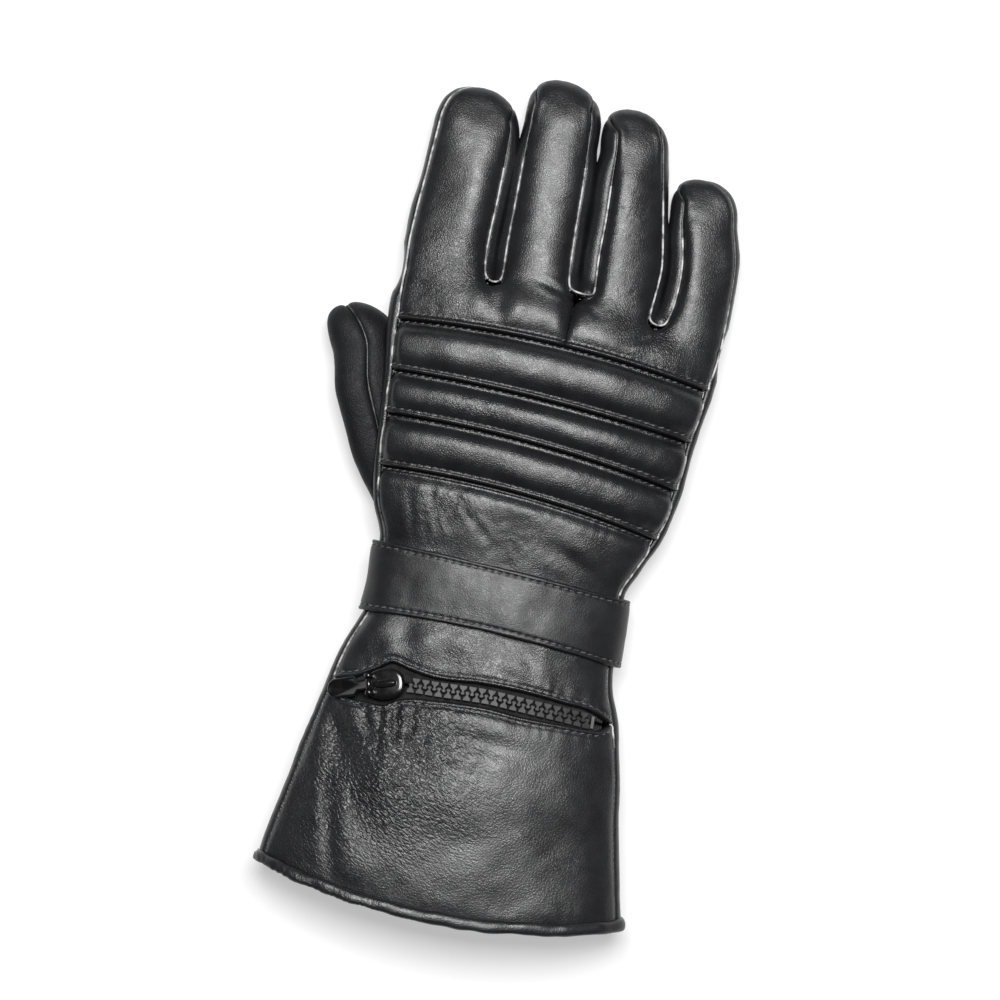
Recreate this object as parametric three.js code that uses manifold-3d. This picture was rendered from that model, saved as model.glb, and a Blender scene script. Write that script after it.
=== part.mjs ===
// A leather gauntlet glove for the right hand, lying palm down, in millimetres.
// +X points to the little finger, +Y to the fingertips and +Z up, out of the back of the hand.
// Every leather panel is a patch of one outer skin, thickened inwards, with a hair gap at each seam.
import * as THREE from 'three';
import { mergeVertices } from 'three/addons/utils/BufferGeometryUtils.js';
import Module from 'manifold-3d';

const wasm = await Module();
wasm.setup();

// Driving sizes
const seamGap = 0.3;
const wall = { knuckle: 2.6, rib: 3.2, wrist: 2.4, palm: 2, fourchette: 1.8, thumb: 2, cuff: 2.2 };
const sideSeamInset = 1.7;
const hem = { height: 4.6, inside: 3, outside: 1.4, gap: 0.5, sides: 8, fullness: 0.6 };
const strap = {
  thickness: 2.2, lift: 0.5, underLift: 2.7, from: -0.03, to: 1.6,
  dipsAt: 1.12, dipsOver: 0.16,
};
const patch = { thickness: 1.3, lift: 0.7, from: 1.32, to: 1.58, margin: 3 };
const tape = { thickness: 0.8, depth: 3, under: 5, split: 0.4, from: -52, to: 54 };
const chain = { from: -24.5, to: 48.5, pitch: 3.7, reach: 3, core: 1.1, thickness: 1.6, depth: 2.4 };
const slider = {
  x: -33, y: -77.4, heading: [-0.97, -0.24],
  length: 15, width: 12.4, waist: 7.5, thickness: 2.8, bevel: 0.4, sink: 0.4,
};
const hinge = {
  along: 5.8, lift: 2.2, radius: 1.3, width: 4.2,
  earWidth: 1.7, earLength: 4.4, earCrown: 1.8, earGap: 0.35,
};
const tab = {
  reach: 19, width: 7.6, thickness: 1.8, neck: 5, neckWidth: 4, shoulder: 1.5,
  restsAt: 21, clearance: 2,
};

// A table is written as its column names and then its rows
function table(names, rows) {
  return rows.map((values) => Object.fromEntries(names.map((name, k) => [name, values[k]])));
}

// Rows across the hand and cuff, each named by the place of its middle along Y.
// left and right are its outline, slant and bow bend it along Y, floor and top are its lowest and
// highest points, edgeL and edgeR the height of its widest points, tuck how full its lower left is, and
// inset how far the left side seam lies inside the outline.
const trunk = table(
  ['at', 'left', 'right', 'slant', 'bow', 'floor', 'top', 'edgeL', 'edgeR', 'tuck', 'inset'],
  [
    [-160.8, -72.2, 71.6, -5, -9.2, 1.6, 46, 22, 22, 2.6, 1.7],
    [-120, -64.5, 64.9, -4, -4, 1.6, 43, 21, 21, 2.6, 1.7],
    [-98, -60.4, 62.6, -2, -0.5, 1.6, 41, 20.5, 20.5, 2.6, 1.7],
    [-76, -56.4, 58.2, 0, 3, 3, 39, 20, 20, 2.6, 1.7],
    [-62, -51.8, 54.6, -4, 3, 4.5, 37.5, 20, 19.5, 2.6, 1.7],
    [-51, -46.2, 53.6, -7, 3, 6, 36, 20, 19, 2.6, 1.7],
    [-26, -44.8, 53.2, -8.3, 1, 6, 34, 20, 19, 2.5, 1.7],
    [-11, -49.4, 57.6, -12, 3, 2.5, 34.5, 22, 18, 2.1, 1.7],
    [3.4, -51.3, 64.2, -12.9, 4, 0, 35, 23.5, 18, 1.8, 1.7],
    [23.4, -52.2, 68.9, -13.3, 3.7, 0, 35.5, 24, 18, 1.7, 1.7],
    [40.7, -53, 71.5, -10.9, 2.7, 0, 35.5, 24, 17, 1.7, 1.9],
    [63, -54.8, 75, -9.5, 4.7, 0, 34, 21, 16, 2.1, 3.2],
    [81, -55.3, 77.4, -14, 4, 0, 30, 16, 14, 2.5, 3.6],
  ],
);
const trunkPower = { top: 2.2, low: 2.6, sag: 3 };

// Where the seams across the back and palm lie along Y, and the rows of points between them
const seamRows = {
  hem: -160.8, zip: -76, strapLow: -51, strapMid: -38.5, strapTop: -26, handTop: -11,
  ribs: [3.4, 23.4, 40.7, 63], fork: 81,
};
const rowsBetween = {
  cuffBack: [-148, -134, -120, -105],
  cuffPalm: [-140, -120, -98, -76, -63],
  palm: [3.4, 13.4, 23.4, 32, 40.7, 52],
  thumbHole: [-33, -20, -8, 4, 14, 24, 33, 42, 52, 63, 76],
};

// A padded rib's swell at places across it, in shares of its width and of its full height
const ribSwell = { height: 2.2, fade: 0.06 };
const ribProfile = table(['across', 'swell'], [[0, 0], [0.14, 0.62], [0.5, 1], [0.86, 0.62], [1, 0]]);

// Fingers, each along a line from a point at its root that leans from +Y towards +X by so many degrees.
// girth gives its sides and crown along that line, and a seam's inset is seen from above.
const crotch = { high: 16, low: 7 };
const forks = [[-54.9, 83.6], [-16.3, 81.5], [16.8, 82], [47.1, 75], [77.4, 69.5]];
const fingerPower = { top: 2.1, low: 2.4, cap: 2.4, sag: 1.5 };
const lowSeamInset = 3;
const contactGap = 0.3;
// How far from its root a finger takes up its own edge height, side gap, seam insets and square ends
const settle = { edge: 12, gap: 3, seams: 14, square: 18 };
const fingers = [
  {
    name: 'index', origin: [-35.2, 90], lean: 3.4, cap: 50, reach: 68.4, tipShift: -1.2, edge: 11.5, nose: 10,
    seamLeft: 1.8, seamRight: 3.2, crownRoot: 28, outer: 'left',
    girth: [{ at: 6, left: -18.7, right: 17.8, top: 26.5 }, { at: 27, left: -18.1, right: 17.6, top: 25.2 },
      { at: 50, left: -17.2, right: 17.1, top: 24.2 }],
  },
  {
    name: 'middle', origin: [0, 95.6], lean: 1, cap: 52, reach: 70.5, tipShift: -2.3, edge: 11.5, nose: 10,
    seamLeft: 2.6, seamRight: 3.4, crownRoot: 30, outer: '',
    girth: [{ at: 4, left: -16.8, right: 16.1, top: 27.5 }, { at: 27, left: -16.4, right: 15.8, top: 25.6 },
      { at: 52, left: -16, right: 15.1, top: 24.4 }],
  },
  {
    name: 'ring', origin: [33.5, 100.9], lean: -4.6, cap: 41, reach: 58.8, tipShift: -3, edge: 11, nose: 9.5,
    seamLeft: 6.2, seamRight: 1.6, crownRoot: 28.5, outer: '',
    girth: [{ at: -2, left: -17.6, right: 16.5, top: 26 }, { at: 15, left: -15.8, right: 15.6, top: 24.6 },
      { at: 41, left: -13.9, right: 13.7, top: 23.2 }],
  },
  {
    name: 'little', origin: [63.4, 81.9], lean: -4.2, cap: 38, reach: 54.9, tipShift: -2.6, edge: 10, nose: 9,
    seamLeft: 4.6, seamRight: 1.2, crownRoot: 24.5, outer: 'right',
    girth: [{ at: 8, left: -12.9, right: 15.1, top: 23.3 }, { at: 20, left: -11.7, right: 15.9, top: 22.3 },
      { at: 38, left: -13.2, right: 13.8, top: 21.2 }],
  },
];

// The thumb lies left of the hand and half under it, so its top leans away by its shear.
const thumb = {
  origin: [-39.5, -1.5], lean: -22.1, cap: 58, reach: 75.6, tipShift: -4, nose: 10,
  seamTop: 80, seamLow: -100, stops: [-12, -2, 8, 18, 30, 46], columns: 8,
  girth: table(['at', 'left', 'right', 'floor', 'top', 'shear'], [
    [-12, -10, 8, 7, 18, 0],
    [8, -13.6, 11.4, 1, 20.5, 3],
    [23, -14.7, 11.6, 0, 22, 5],
    [40, -14.9, 11.6, 0, 22.5, 5],
    [58, -14, 11.8, 0, 21.5, 2],
  ]),
};

// The zip's mouth: its two leather lips and its line of teeth along Y, at places along X
const lips = table(['x', 'upper', 'lower', 'teeth'], [
  [-54, -78.2, -78.2, -79],
  [-47, -76.8, -84.8, -79],
  [-40, -73.2, -85.6, -78.6],
  [-33, -69.3, -85.8, -77.3],
  [-26, -70.6, -82.2, -76.1],
  [-12, -72.2, -80.4, -75.8],
  [4, -71.4, -80, -75.6],
  [20, -72, -81.5, -76.7],
  [36, -73.8, -82.2, -78],
  [49, -75.8, -82.8, -79.2],
  [56, -79.4, -79.4, -79.8],
]);

// How finely the skin is cut
const columns = { finger: 5, side: 2, fourchette: 3 };
const rootSteps = [3, 7, 12, 18];
const shaftSteps = 2;
const capSteps = [0.35, 0.6, 0.8, 0.93, 1];
const seamsMeet = { from: 0.45, at: 0.8, angle: 10 };
const knuckleSteps = [0, 0.3, 0.55, 0.8, 1];
const knuckleBlend = 2.5;

const radians = Math.PI / 180;
const mix = (a, b, t) => a + (b - a) * t;
const mixPoints = (a, b, t) => a.map((value, k) => mix(value, b[k], t));
const clamp = (t) => Math.min(1, Math.max(0, t));
const ease = (t) => clamp(t) * clamp(t) * (3 - 2 * clamp(t));
const lastOf = (list) => list[list.length - 1];
const minus = (a, b) => [a[0] - b[0], a[1] - b[1], a[2] - b[2]];
const cross = (a, b) => [a[1] * b[2] - a[2] * b[1], a[2] * b[0] - a[0] * b[2], a[0] * b[1] - a[1] * b[0]];
const unit = (a) => a.map((value) => value / (Math.hypot(...a) || 1));

// Points that lie on one spot have one key
const pointKey = (point) => point.map((value) => Math.round(value * 500)).join(',');

// A smooth curve through one column of a table, straight beyond its ends
function read(table, key, column, at) {
  const last = table.length - 1;
  const slope = (i) => (table[i + 1][column] - table[i][column]) / (table[i + 1][key] - table[i][key]);
  if (at <= table[0][key]) return table[0][column] + slope(0) * (at - table[0][key]);
  if (at >= table[last][key]) return table[last][column] + slope(last - 1) * (at - table[last][key]);
  const tangent = (i) => {
    if (i === 0) return slope(0);
    if (i === last) return slope(last - 1);
    if (slope(i - 1) * slope(i) <= 0) return 0;
    const before = table[i][key] - table[i - 1][key];
    const after = table[i + 1][key] - table[i][key];
    return (slope(i - 1) * after + slope(i) * before) / (before + after);
  };
  let i = 0;
  while (table[i + 1][key] < at) i += 1;
  const span = table[i + 1][key] - table[i][key];
  const t = (at - table[i][key]) / span;
  return (1 + 2 * t) * (1 - t) ** 2 * table[i][column] + t * (1 - t) ** 2 * span * tangent(i)
    + t * t * (3 - 2 * t) * table[i + 1][column] + t * t * (t - 1) * span * tangent(i + 1);
}

// A cross section is an upper and a lower half oval joined by straight sides, cut flat at the floor.
// Its angle falls from 180 at the left over the crown to 0 at the right, and on under the hand.
function ovalPoint(shape, angle, upper) {
  const c = Math.cos(angle * radians);
  const s = Math.abs(Math.sin(angle * radians));
  const side = c < 0 ? 'Left' : 'Right';
  const power = upper ? shape.powerTop : shape[`power${side}`];
  const x = shape.middle + shape.half * Math.sign(c) * Math.abs(c) ** (2 / power);
  const swing = s ** (2 / power);
  if (upper) return [x, mix(shape[`high${side}`], shape.crown, swing)];
  return [x, Math.max(shape.floor, mix(shape[`low${side}`], shape.floor - shape.sag, swing))];
}

function ovalArc(shape, from, to) {
  const pieces = [];
  if (from === to) {
    pieces.push([from, to, from === 0], [from, to, from !== 0]);
  } else {
    if (from > 0) pieces.push([from, Math.max(to, 0), true]);
    if (to < 0 && from > -180) pieces.push([Math.min(from, 0), Math.max(to, -180), false]);
    if (to < -180) pieces.push([Math.min(from, -180), to, true]);
  }
  const steps = 40;
  const points = [];
  for (const [start, end, upper] of pieces) {
    for (let k = 0; k <= steps; k += 1) points.push(ovalPoint(shape, mix(start, end, k / steps), upper));
  }
  return points;
}

// Points at given fractions of an arc's length
function spread(points, fractions) {
  const lengths = [0];
  for (let k = 1; k < points.length; k += 1) {
    const stride = Math.hypot(points[k][0] - points[k - 1][0], points[k][1] - points[k - 1][1]);
    lengths.push(lengths[k - 1] + stride);
  }
  return fractions.map((fraction) => {
    const target = fraction * lastOf(lengths);
    let k = 1;
    while (k < points.length - 1 && lengths[k] < target) k += 1;
    const t = clamp((target - lengths[k - 1]) / Math.max(1e-9, lengths[k] - lengths[k - 1]));
    return mixPoints(points[k - 1], points[k], t);
  });
}

const even = (count) => Array.from({ length: count + 1 }, (unused, k) => k / count);

// The angle at which a section lies a given inset inside its outline, seen from above
function seamAngle(shape, inset) {
  return Math.acos((1 - inset / shape.half) ** (shape.powerTop / 2)) / radians;
}

function trunkShape(at) {
  const row = (column) => read(trunk, 'at', column, at);
  return {
    left: row('left'), right: row('right'), slant: row('slant'), bow: row('bow'),
    middle: (row('left') + row('right')) / 2, half: (row('right') - row('left')) / 2,
    crown: row('top'), floor: row('floor'), sag: trunkPower.sag,
    highLeft: row('edgeL'), lowLeft: row('edgeL'), highRight: row('edgeR'), lowRight: row('edgeR'),
    powerTop: trunkPower.top, powerLeft: row('tuck'), powerRight: trunkPower.low, inset: row('inset'),
  };
}

// The way out of the leather at points of the side seams, which panels of unlike rows share
const seamNormals = new Map();

// A point of the hand and cuff: turn runs 0 to 1 over the back from left to right, and 1 to 2 back under it
function skin(at, turn, lift = 0) {
  const shape = trunkShape(at);
  const seamLeft = seamAngle(shape, shape.inset);
  const seamRight = seamAngle(shape, sideSeamInset);
  const around = (turn + 2) % 2;
  const overBack = around < 1 || turn === 1;
  const [from, to] = overBack ? [180 - seamLeft, seamRight] : [seamRight, -180 - seamLeft];
  const points = ovalArc(shape, from, to);
  const fraction = overBack && turn === 1 ? 1 : around % 1;
  const step = 0.004;
  const [before, here, after] = spread(points, [clamp(fraction - step), fraction, clamp(fraction + step)]);
  const run = Math.hypot(after[0] - before[0], after[1] - before[1]);
  const x = here[0] - lift * (after[1] - before[1]) / run;
  const z = here[1] + lift * (after[0] - before[0]) / run;
  const across = (here[0] - shape.left) / (shape.right - shape.left);
  const y = at + shape.slant * (across - 0.5) - shape.bow * (2 * across - 1) ** 2;
  if (around % 1 === 0) seamNormals.set(pointKey([x, y, z]), [before[1] - after[1], 0, after[0] - before[0]]);
  return [x, y, z];
}

// The place on the back that lies over a given x and y
function onBack(x, y, lift = 0) {
  let at = y;
  let turn = 0.5;
  for (let round = 0; round < 6; round += 1) {
    let low = 0;
    let high = 1;
    for (let k = 0; k < 24; k += 1) {
      turn = (low + high) / 2;
      if (skin(at, turn)[0] < x) low = turn;
      else high = turn;
    }
    at += y - skin(at, turn)[1];
  }
  return skin(at, turn, lift);
}

// A finger's own directions, and its first row laid through the forks on either side of it
fingers.forEach((finger, number) => {
  finger.ahead = [Math.sin(finger.lean * radians), Math.cos(finger.lean * radians)];
  finger.across = [finger.ahead[1], -finger.ahead[0]];
  const local = (point) => {
    const d = [point[0] - finger.origin[0], point[1] - finger.origin[1]];
    return [finger.ahead, finger.across].map((way) => d[0] * way[0] + d[1] * way[1]);
  };
  const [alongLeft, left] = local(forks[number]);
  const [alongRight, right] = local(forks[number + 1]);
  finger.root = (alongLeft + alongRight) / 2;
  finger.skew = [alongLeft - finger.root, alongRight - finger.root];
  finger.girth.unshift({ at: finger.root, left, right, top: finger.crownRoot });
});

function fingerShape(finger, along) {
  const row = (column) => read(finger.girth, 'at', column, Math.min(along, finger.cap));
  const past = clamp((along - finger.cap) / (finger.reach - finger.cap));
  const narrow = (1 - past ** fingerPower.cap) ** (1 / fingerPower.cap);
  const fromRoot = ease((along - finger.root) / settle.edge);
  const apart = contactGap * ease((along - finger.root) / settle.gap);
  const left = row('left') + (finger.outer === 'left' ? 0 : apart);
  const right = row('right') - (finger.outer === 'right' ? 0 : apart);
  const level = (z) => mix(finger.nose, z, narrow);
  const forkEdge = { left: lastOf(trunk).edgeL, right: lastOf(trunk).edgeR };
  const base = (side, start) => (
    level(mix(finger.outer === side ? forkEdge[side] : start, finger.edge, fromRoot))
  );
  return {
    middle: (left + right) / 2 + finger.tipShift * past ** 2, half: (right - left) / 2 * narrow,
    full: (right - left) / 2, past, crown: level(row('top')), floor: level(0), sag: fingerPower.sag * narrow,
    highLeft: base('left', crotch.high), lowLeft: base('left', crotch.low),
    highRight: base('right', crotch.high), lowRight: base('right', crotch.low),
    powerTop: fingerPower.top, powerLeft: fingerPower.low, powerRight: fingerPower.low,
  };
}

// One ring of points round a finger, as its back, right side, palm side and left side
function fingerRing(finger, along) {
  const shape = fingerShape(finger, along);
  const full = { half: shape.full, powerTop: shape.powerTop };
  const meet = clamp((shape.past - seamsMeet.from) / (seamsMeet.at - seamsMeet.from));
  const opened = ease((along - finger.root) / settle.seams);
  const angles = (side) => {
    const inset = side === 'left' ? finger.seamLeft : finger.seamRight;
    if (finger.outer === side) {
      const atRoot = side === 'left' ? lastOf(trunk).inset : sideSeamInset;
      const upper = seamAngle(full, mix(atRoot, inset, opened));
      return [upper, -upper];
    }
    const upper = mix(seamAngle(full, inset * opened), seamsMeet.angle, meet);
    return [upper, mix(seamAngle(full, lowSeamInset * opened), -seamsMeet.angle, meet)];
  };
  const [highLeft, lowLeft] = angles('left');
  const [highRight, lowRight] = angles('right');
  const place = ([side, z]) => {
    const share = clamp((side - shape.middle + shape.half) / Math.max(1e-6, 2 * shape.half));
    const squared = ease((along - finger.root) / settle.square);
    const skew = mix(finger.skew[0], finger.skew[1], share) * (1 - squared);
    return [
      finger.origin[0] + finger.ahead[0] * (along + skew) + finger.across[0] * side,
      finger.origin[1] + finger.ahead[1] * (along + skew) + finger.across[1] * side,
      z,
    ];
  };
  const part = (from, to, count) => spread(ovalArc(shape, from, to), even(count)).map(place);
  const palmColumns = columns.finger + (finger.outer ? columns.side : 0);
  const open = (side) => meet < 1 && finger.outer !== side;
  return {
    back: part(180 - highLeft, highRight, columns.finger),
    palm: part(-lowRight, -180 + lowLeft, palmColumns),
    right: open('right') ? part(highRight, -lowRight, columns.fourchette) : null,
    left: open('left') ? part(-180 + lowLeft, -180 - highLeft, columns.fourchette) : null,
  };
}

function fingerStops(finger) {
  const stops = [finger.root, ...rootSteps.map((step) => finger.root + step)];
  const start = lastOf(stops);
  for (let k = 1; k <= shaftSteps; k += 1) stops.push(mix(start, finger.cap, k / shaftSteps));
  return [...stops, ...capSteps.map((step) => mix(finger.cap, finger.reach, step))];
}

// Where the seams meet near a fingertip, its side pieces run out to a point on the seam
const rings = fingers.map((finger) => {
  const list = fingerStops(finger).map((along) => fingerRing(finger, along));
  const end = list.findIndex((ring) => ring.right === null && ring.left === null);
  if (finger.outer !== 'right') list[end].right = Array(columns.fourchette + 1).fill(lastOf(list[end].back));
  if (finger.outer !== 'left') list[end].left = Array(columns.fourchette + 1).fill(list[end].back[0]);
  return list;
});

// Turns at which the hand's columns meet those of the fingers, over the back and under the palm
function turnsOf(side, order) {
  const lengths = [0];
  for (const number of order) {
    const points = rings[number][0][side];
    for (let k = 1; k < points.length; k += 1) {
      lengths.push(lastOf(lengths) + Math.hypot(...minus(points[k], points[k - 1])));
    }
  }
  return lengths.map((length) => length / lastOf(lengths));
}
const backTurns = turnsOf('back', [0, 1, 2, 3]);
const palmTurns = turnsOf('palm', [3, 2, 1, 0]).map((turn) => turn + 1);

const row = (at, turns, lift = 0) => turns.map((turn) => skin(at, turn, lift));

// The last rows over the knuckles pass from the hand's own section to the roots of the fingers
function knuckleRows(turns, rootPoints) {
  return knuckleSteps.map((step) => {
    const hand = row(mix(lastOf(seamRows.ribs), seamRows.fork, step), turns);
    return hand.map((point, k) => mixPoints(point, rootPoints[k], step ** knuckleBlend));
  });
}

// A patch of the skin from grids of points, rows running forwards and columns clockwise round the hand
function makePatch(grids) {
  const known = new Map();
  const points = [];
  const faces = [];
  const idOf = (point) => {
    const key = pointKey(point);
    if (!known.has(key)) {
      known.set(key, points.length);
      points.push(point);
    }
    return known.get(key);
  };
  for (const grid of grids) {
    for (let i = 0; i + 1 < grid.length; i += 1) {
      for (let j = 0; j + 1 < grid[i].length; j += 1) {
        const corners = [grid[i][j], grid[i][j + 1], grid[i + 1][j + 1], grid[i + 1][j]].map(idOf);
        for (const face of [[corners[0], corners[1], corners[2]], [corners[0], corners[2], corners[3]]]) {
          if (new Set(face).size === 3) faces.push(face);
        }
      }
    }
  }
  return { points, faces };
}

const faceNormal = (points, [a, b, c]) => cross(minus(points[b], points[a]), minus(points[c], points[a]));

// Normals shared by all the patches that meet at a point
function shareNormals(patches) {
  const sums = new Map();
  for (const { points, faces } of patches) {
    for (const face of faces) {
      const normal = faceNormal(points, face);
      for (const corner of face) {
        const key = pointKey(points[corner]);
        sums.set(key, (sums.get(key) || [0, 0, 0]).map((value, k) => value + normal[k]));
      }
    }
  }
  return sums;
}

// Turns a patch into a closed wall of the given thickness, drawn back from its neighbours at the seams
function thicken({ points, faces }, thickness, normals, inset = seamGap / 2) {
  const edges = new Map();
  for (const face of faces) {
    for (let k = 0; k < 3; k += 1) edges.set(`${face[k]},${face[(k + 1) % 3]}`, face);
  }
  const rim = [];
  const pulls = points.map(() => []);
  for (const [name, face] of edges) {
    const [a, b] = name.split(',').map(Number);
    if (edges.has(`${b},${a}`)) continue;
    rim.push([a, b]);
    const pull = unit(cross(unit(faceNormal(points, face)), minus(points[b], points[a])));
    pulls[a].push(pull);
    pulls[b].push(pull);
  }
  const outer = points.map((point, k) => {
    if (pulls[k].length === 0) return point;
    const sum = pulls[k].reduce((a, b) => a.map((value, axis) => value + b[axis]), [0, 0, 0]);
    const mitre = Math.min(2, pulls[k].length / Math.max(0.1, Math.hypot(...sum)));
    return point.map((value, axis) => value + unit(sum)[axis] * inset * mitre);
  });
  const inner = outer.map((point, k) => {
    const normal = unit(normals.get(pointKey(points[k])));
    return point.map((value, axis) => value - normal[axis] * thickness);
  });
  const count = points.length;
  const all = [...faces, ...faces.map(([a, b, c]) => [c + count, b + count, a + count])];
  for (const [a, b] of rim) {
    // Both panels at a seam split its rim along the same diagonal
    if (pointKey(points[a]) < pointKey(points[b])) all.push([b, a, a + count], [b, a + count, b + count]);
    else all.push([b, a, b + count], [a, a + count, b + count]);
  }
  return { points: [...outer, ...inner], faces: all };
}

function geometryOf({ points, faces }) {
  const geometry = new THREE.BufferGeometry();
  geometry.setAttribute('position', new THREE.BufferAttribute(new Float32Array(points.flat()), 3));
  geometry.setIndex(faces.flat());
  return geometry;
}

function solidOf({ points, faces }) {
  const vertProperties = new Float32Array(points.flat());
  const triVerts = new Uint32Array(faces.flat());
  return new wasm.Manifold(new wasm.Mesh({ numProp: 3, vertProperties, triVerts }));
}

// The largest body of a solid, without the slivers that a cut leaves
function largestBody(solid) {
  const bodies = solid.decompose().sort((a, b) => b.volume() - a.volume());
  const { vertProperties, triVerts } = bodies[0].getMesh();
  const geometry = new THREE.BufferGeometry();
  geometry.setAttribute('position', new THREE.BufferAttribute(new Float32Array(vertProperties), 3));
  geometry.setIndex(Array.from(triVerts));
  return geometry;
}

// Materials: black leather in three finishes, black tape and moulded plastic
const materials = {
  leather: new THREE.MeshStandardMaterial({ color: 0x1b1b1d, roughness: 0.48, metalness: 0 }),
  cuffLeather: new THREE.MeshStandardMaterial({ color: 0x202123, roughness: 0.55, metalness: 0 }),
  strapLeather: new THREE.MeshStandardMaterial({ color: 0x1d1d1f, roughness: 0.5, metalness: 0 }),
  tape: new THREE.MeshStandardMaterial({ color: 0x101011, roughness: 0.9, metalness: 0 }),
  plastic: new THREE.MeshStandardMaterial({ color: 0x161617, roughness: 0.35, metalness: 0 }),
  gloss: new THREE.MeshStandardMaterial({ color: 0x0e0e0f, roughness: 0.18, metalness: 0.2 }),
};
const glove = new THREE.Group();

function add(name, geometry, material, parent = glove) {
  const mesh = new THREE.Mesh(geometry, materials[material].clone());
  mesh.name = name;
  parent.add(mesh);
  return mesh;
}

// The fingers' backs are one panel for the index and middle fingers, and one for the other two
const backGrid = (number) => rings[number].map((ring) => ring.back);
const rootOf = (side, order) => order.flatMap((number, k) => rings[number][0][side].slice(k === 0 ? 0 : 1));
const knuckleBack = knuckleRows(backTurns, rootOf('back', [0, 1, 2, 3]));
const middleColumn = 2 * columns.finger;
const innerRows = knuckleBack.map((line) => line.slice(0, middleColumn + 1));
const outerRows = knuckleBack.map((line) => line.slice(middleColumn));
const knuckleInner = makePatch([innerRows, backGrid(0), backGrid(1)]);
const knuckleOuter = makePatch([outerRows, backGrid(2), backGrid(3)]);

// Three padded ribs swell between their seams and flatten at the sides
function ribPatch(number) {
  return makePatch([ribProfile.map(({ across, swell }) => backTurns.map((turn) => {
    const fade = ease(Math.min(turn, 1 - turn) / ribSwell.fade);
    const at = mix(seamRows.ribs[number], seamRows.ribs[number + 1], across);
    return skin(at, turn, ribSwell.height * swell * fade);
  }))]);
}
const ribs = [0, 1, 2].map(ribPatch);

// The lips of the zip bend the rows of the wrist panel and of the cuff's back
function lipRow(lip, share, from) {
  return backTurns.map((turn) => {
    const [x, y] = skin(seamRows.zip, turn);
    const reachX = Math.min(lastOf(lips).x, Math.max(lips[0].x, x));
    const lipAt = seamRows.zip + read(lips, 'x', lip, reachX) - y;
    return skin(mix(from, lipAt, share), turn);
  });
}
const { hem: hemRow, strapLow, strapMid, strapTop, handTop } = seamRows;
const grid = (rows, turns) => rows.map((at) => row(at, turns));
const lastCuffRow = lastOf(rowsBetween.cuffBack);
const wrist = makePatch([[
  lipRow('upper', 1, strapLow),
  lipRow('upper', 0.5, strapLow),
  ...grid([strapLow, strapMid, strapTop, handTop, seamRows.ribs[0]], backTurns),
]]);
const cuffBack = makePatch([[
  ...grid([hemRow, ...rowsBetween.cuffBack], backTurns),
  lipRow('lower', 0.5, lastCuffRow),
  lipRow('lower', 1, lastCuffRow),
]]);

// The palm is one panel with the fronts of all four fingers, up to the side seams
const palm = makePatch([
  [
    ...grid([strapMid, strapTop, handTop, ...rowsBetween.palm], palmTurns),
    ...knuckleRows(palmTurns, rootOf('palm', [3, 2, 1, 0])),
  ],
  ...rings.map((list) => list.map((ring) => ring.palm)),
]);
const cuffPalm = makePatch([grid([hemRow, ...rowsBetween.cuffPalm, strapLow, strapMid], palmTurns)]);

// Between two fingers one piece runs up the side of each, folded at the fork
function fourchette(number) {
  const side = (list, name) => list.map((ring) => ring[name]).filter((points) => points);
  return makePatch([side(rings[number], 'right'), side(rings[number + 1], 'left')]);
}
const fourchettes = [0, 1, 2].map(fourchette);

const skinPatches = [knuckleInner, knuckleOuter, ...ribs, wrist, cuffBack, palm, cuffPalm, ...fourchettes];
const normals = shareNormals(skinPatches);
for (const [key, normal] of seamNormals) normals.set(key, normal);

function panel(name, source, thickness, material = 'leather') {
  add(name, geometryOf(thicken(source, thickness, normals)), material);
}
panel('knuckle_panel_inner', knuckleInner, wall.knuckle);
panel('knuckle_panel_outer', knuckleOuter, wall.knuckle);
ribs.forEach((rib, k) => panel(`rib_${k + 1}`, rib, wall.rib));
panel('wrist_panel', wrist, wall.wrist);
panel('gauntlet_back', cuffBack, wall.cuff, 'cuffLeather');
panel('gauntlet_palm', cuffPalm, wall.cuff, 'cuffLeather');
['index_middle', 'middle_ring', 'ring_little'].forEach((name, k) => {
  panel(`fourchette_${name}`, fourchettes[k], wall.fourchette);
});

// The thumb is two halves of a tube that grows out of the lower left of the palm
function thumbRing(along, from, to, count, grow = 0) {
  const past = clamp((along - thumb.cap) / (thumb.reach - thumb.cap));
  const narrow = (1 - past ** fingerPower.cap) ** (1 / fingerPower.cap);
  const value = (column) => read(thumb.girth, 'at', column, Math.min(along, thumb.cap));
  const level = (z) => mix(thumb.nose, z, narrow);
  const edge = level((value('top') + value('floor')) / 2);
  const shape = {
    middle: (value('left') + value('right')) / 2 + thumb.tipShift * past ** 2,
    half: (value('right') - value('left')) / 2 * narrow + grow,
    crown: level(value('top')) + grow, floor: level(value('floor')) - grow, sag: fingerPower.sag * narrow,
    highLeft: edge, lowLeft: edge, highRight: edge, lowRight: edge,
    powerTop: fingerPower.top, powerLeft: fingerPower.low, powerRight: fingerPower.low,
  };
  const lean = thumb.lean * radians;
  return spread(ovalArc(shape, from, to), even(count)).map(([side, z]) => {
    const sheared = side - value('shear') * narrow * (z - edge) / Math.max(1, shape.crown - edge);
    return [
      thumb.origin[0] + Math.sin(lean) * along + Math.cos(lean) * sheared,
      thumb.origin[1] + Math.cos(lean) * along - Math.sin(lean) * sheared,
      z,
    ];
  });
}

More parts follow.
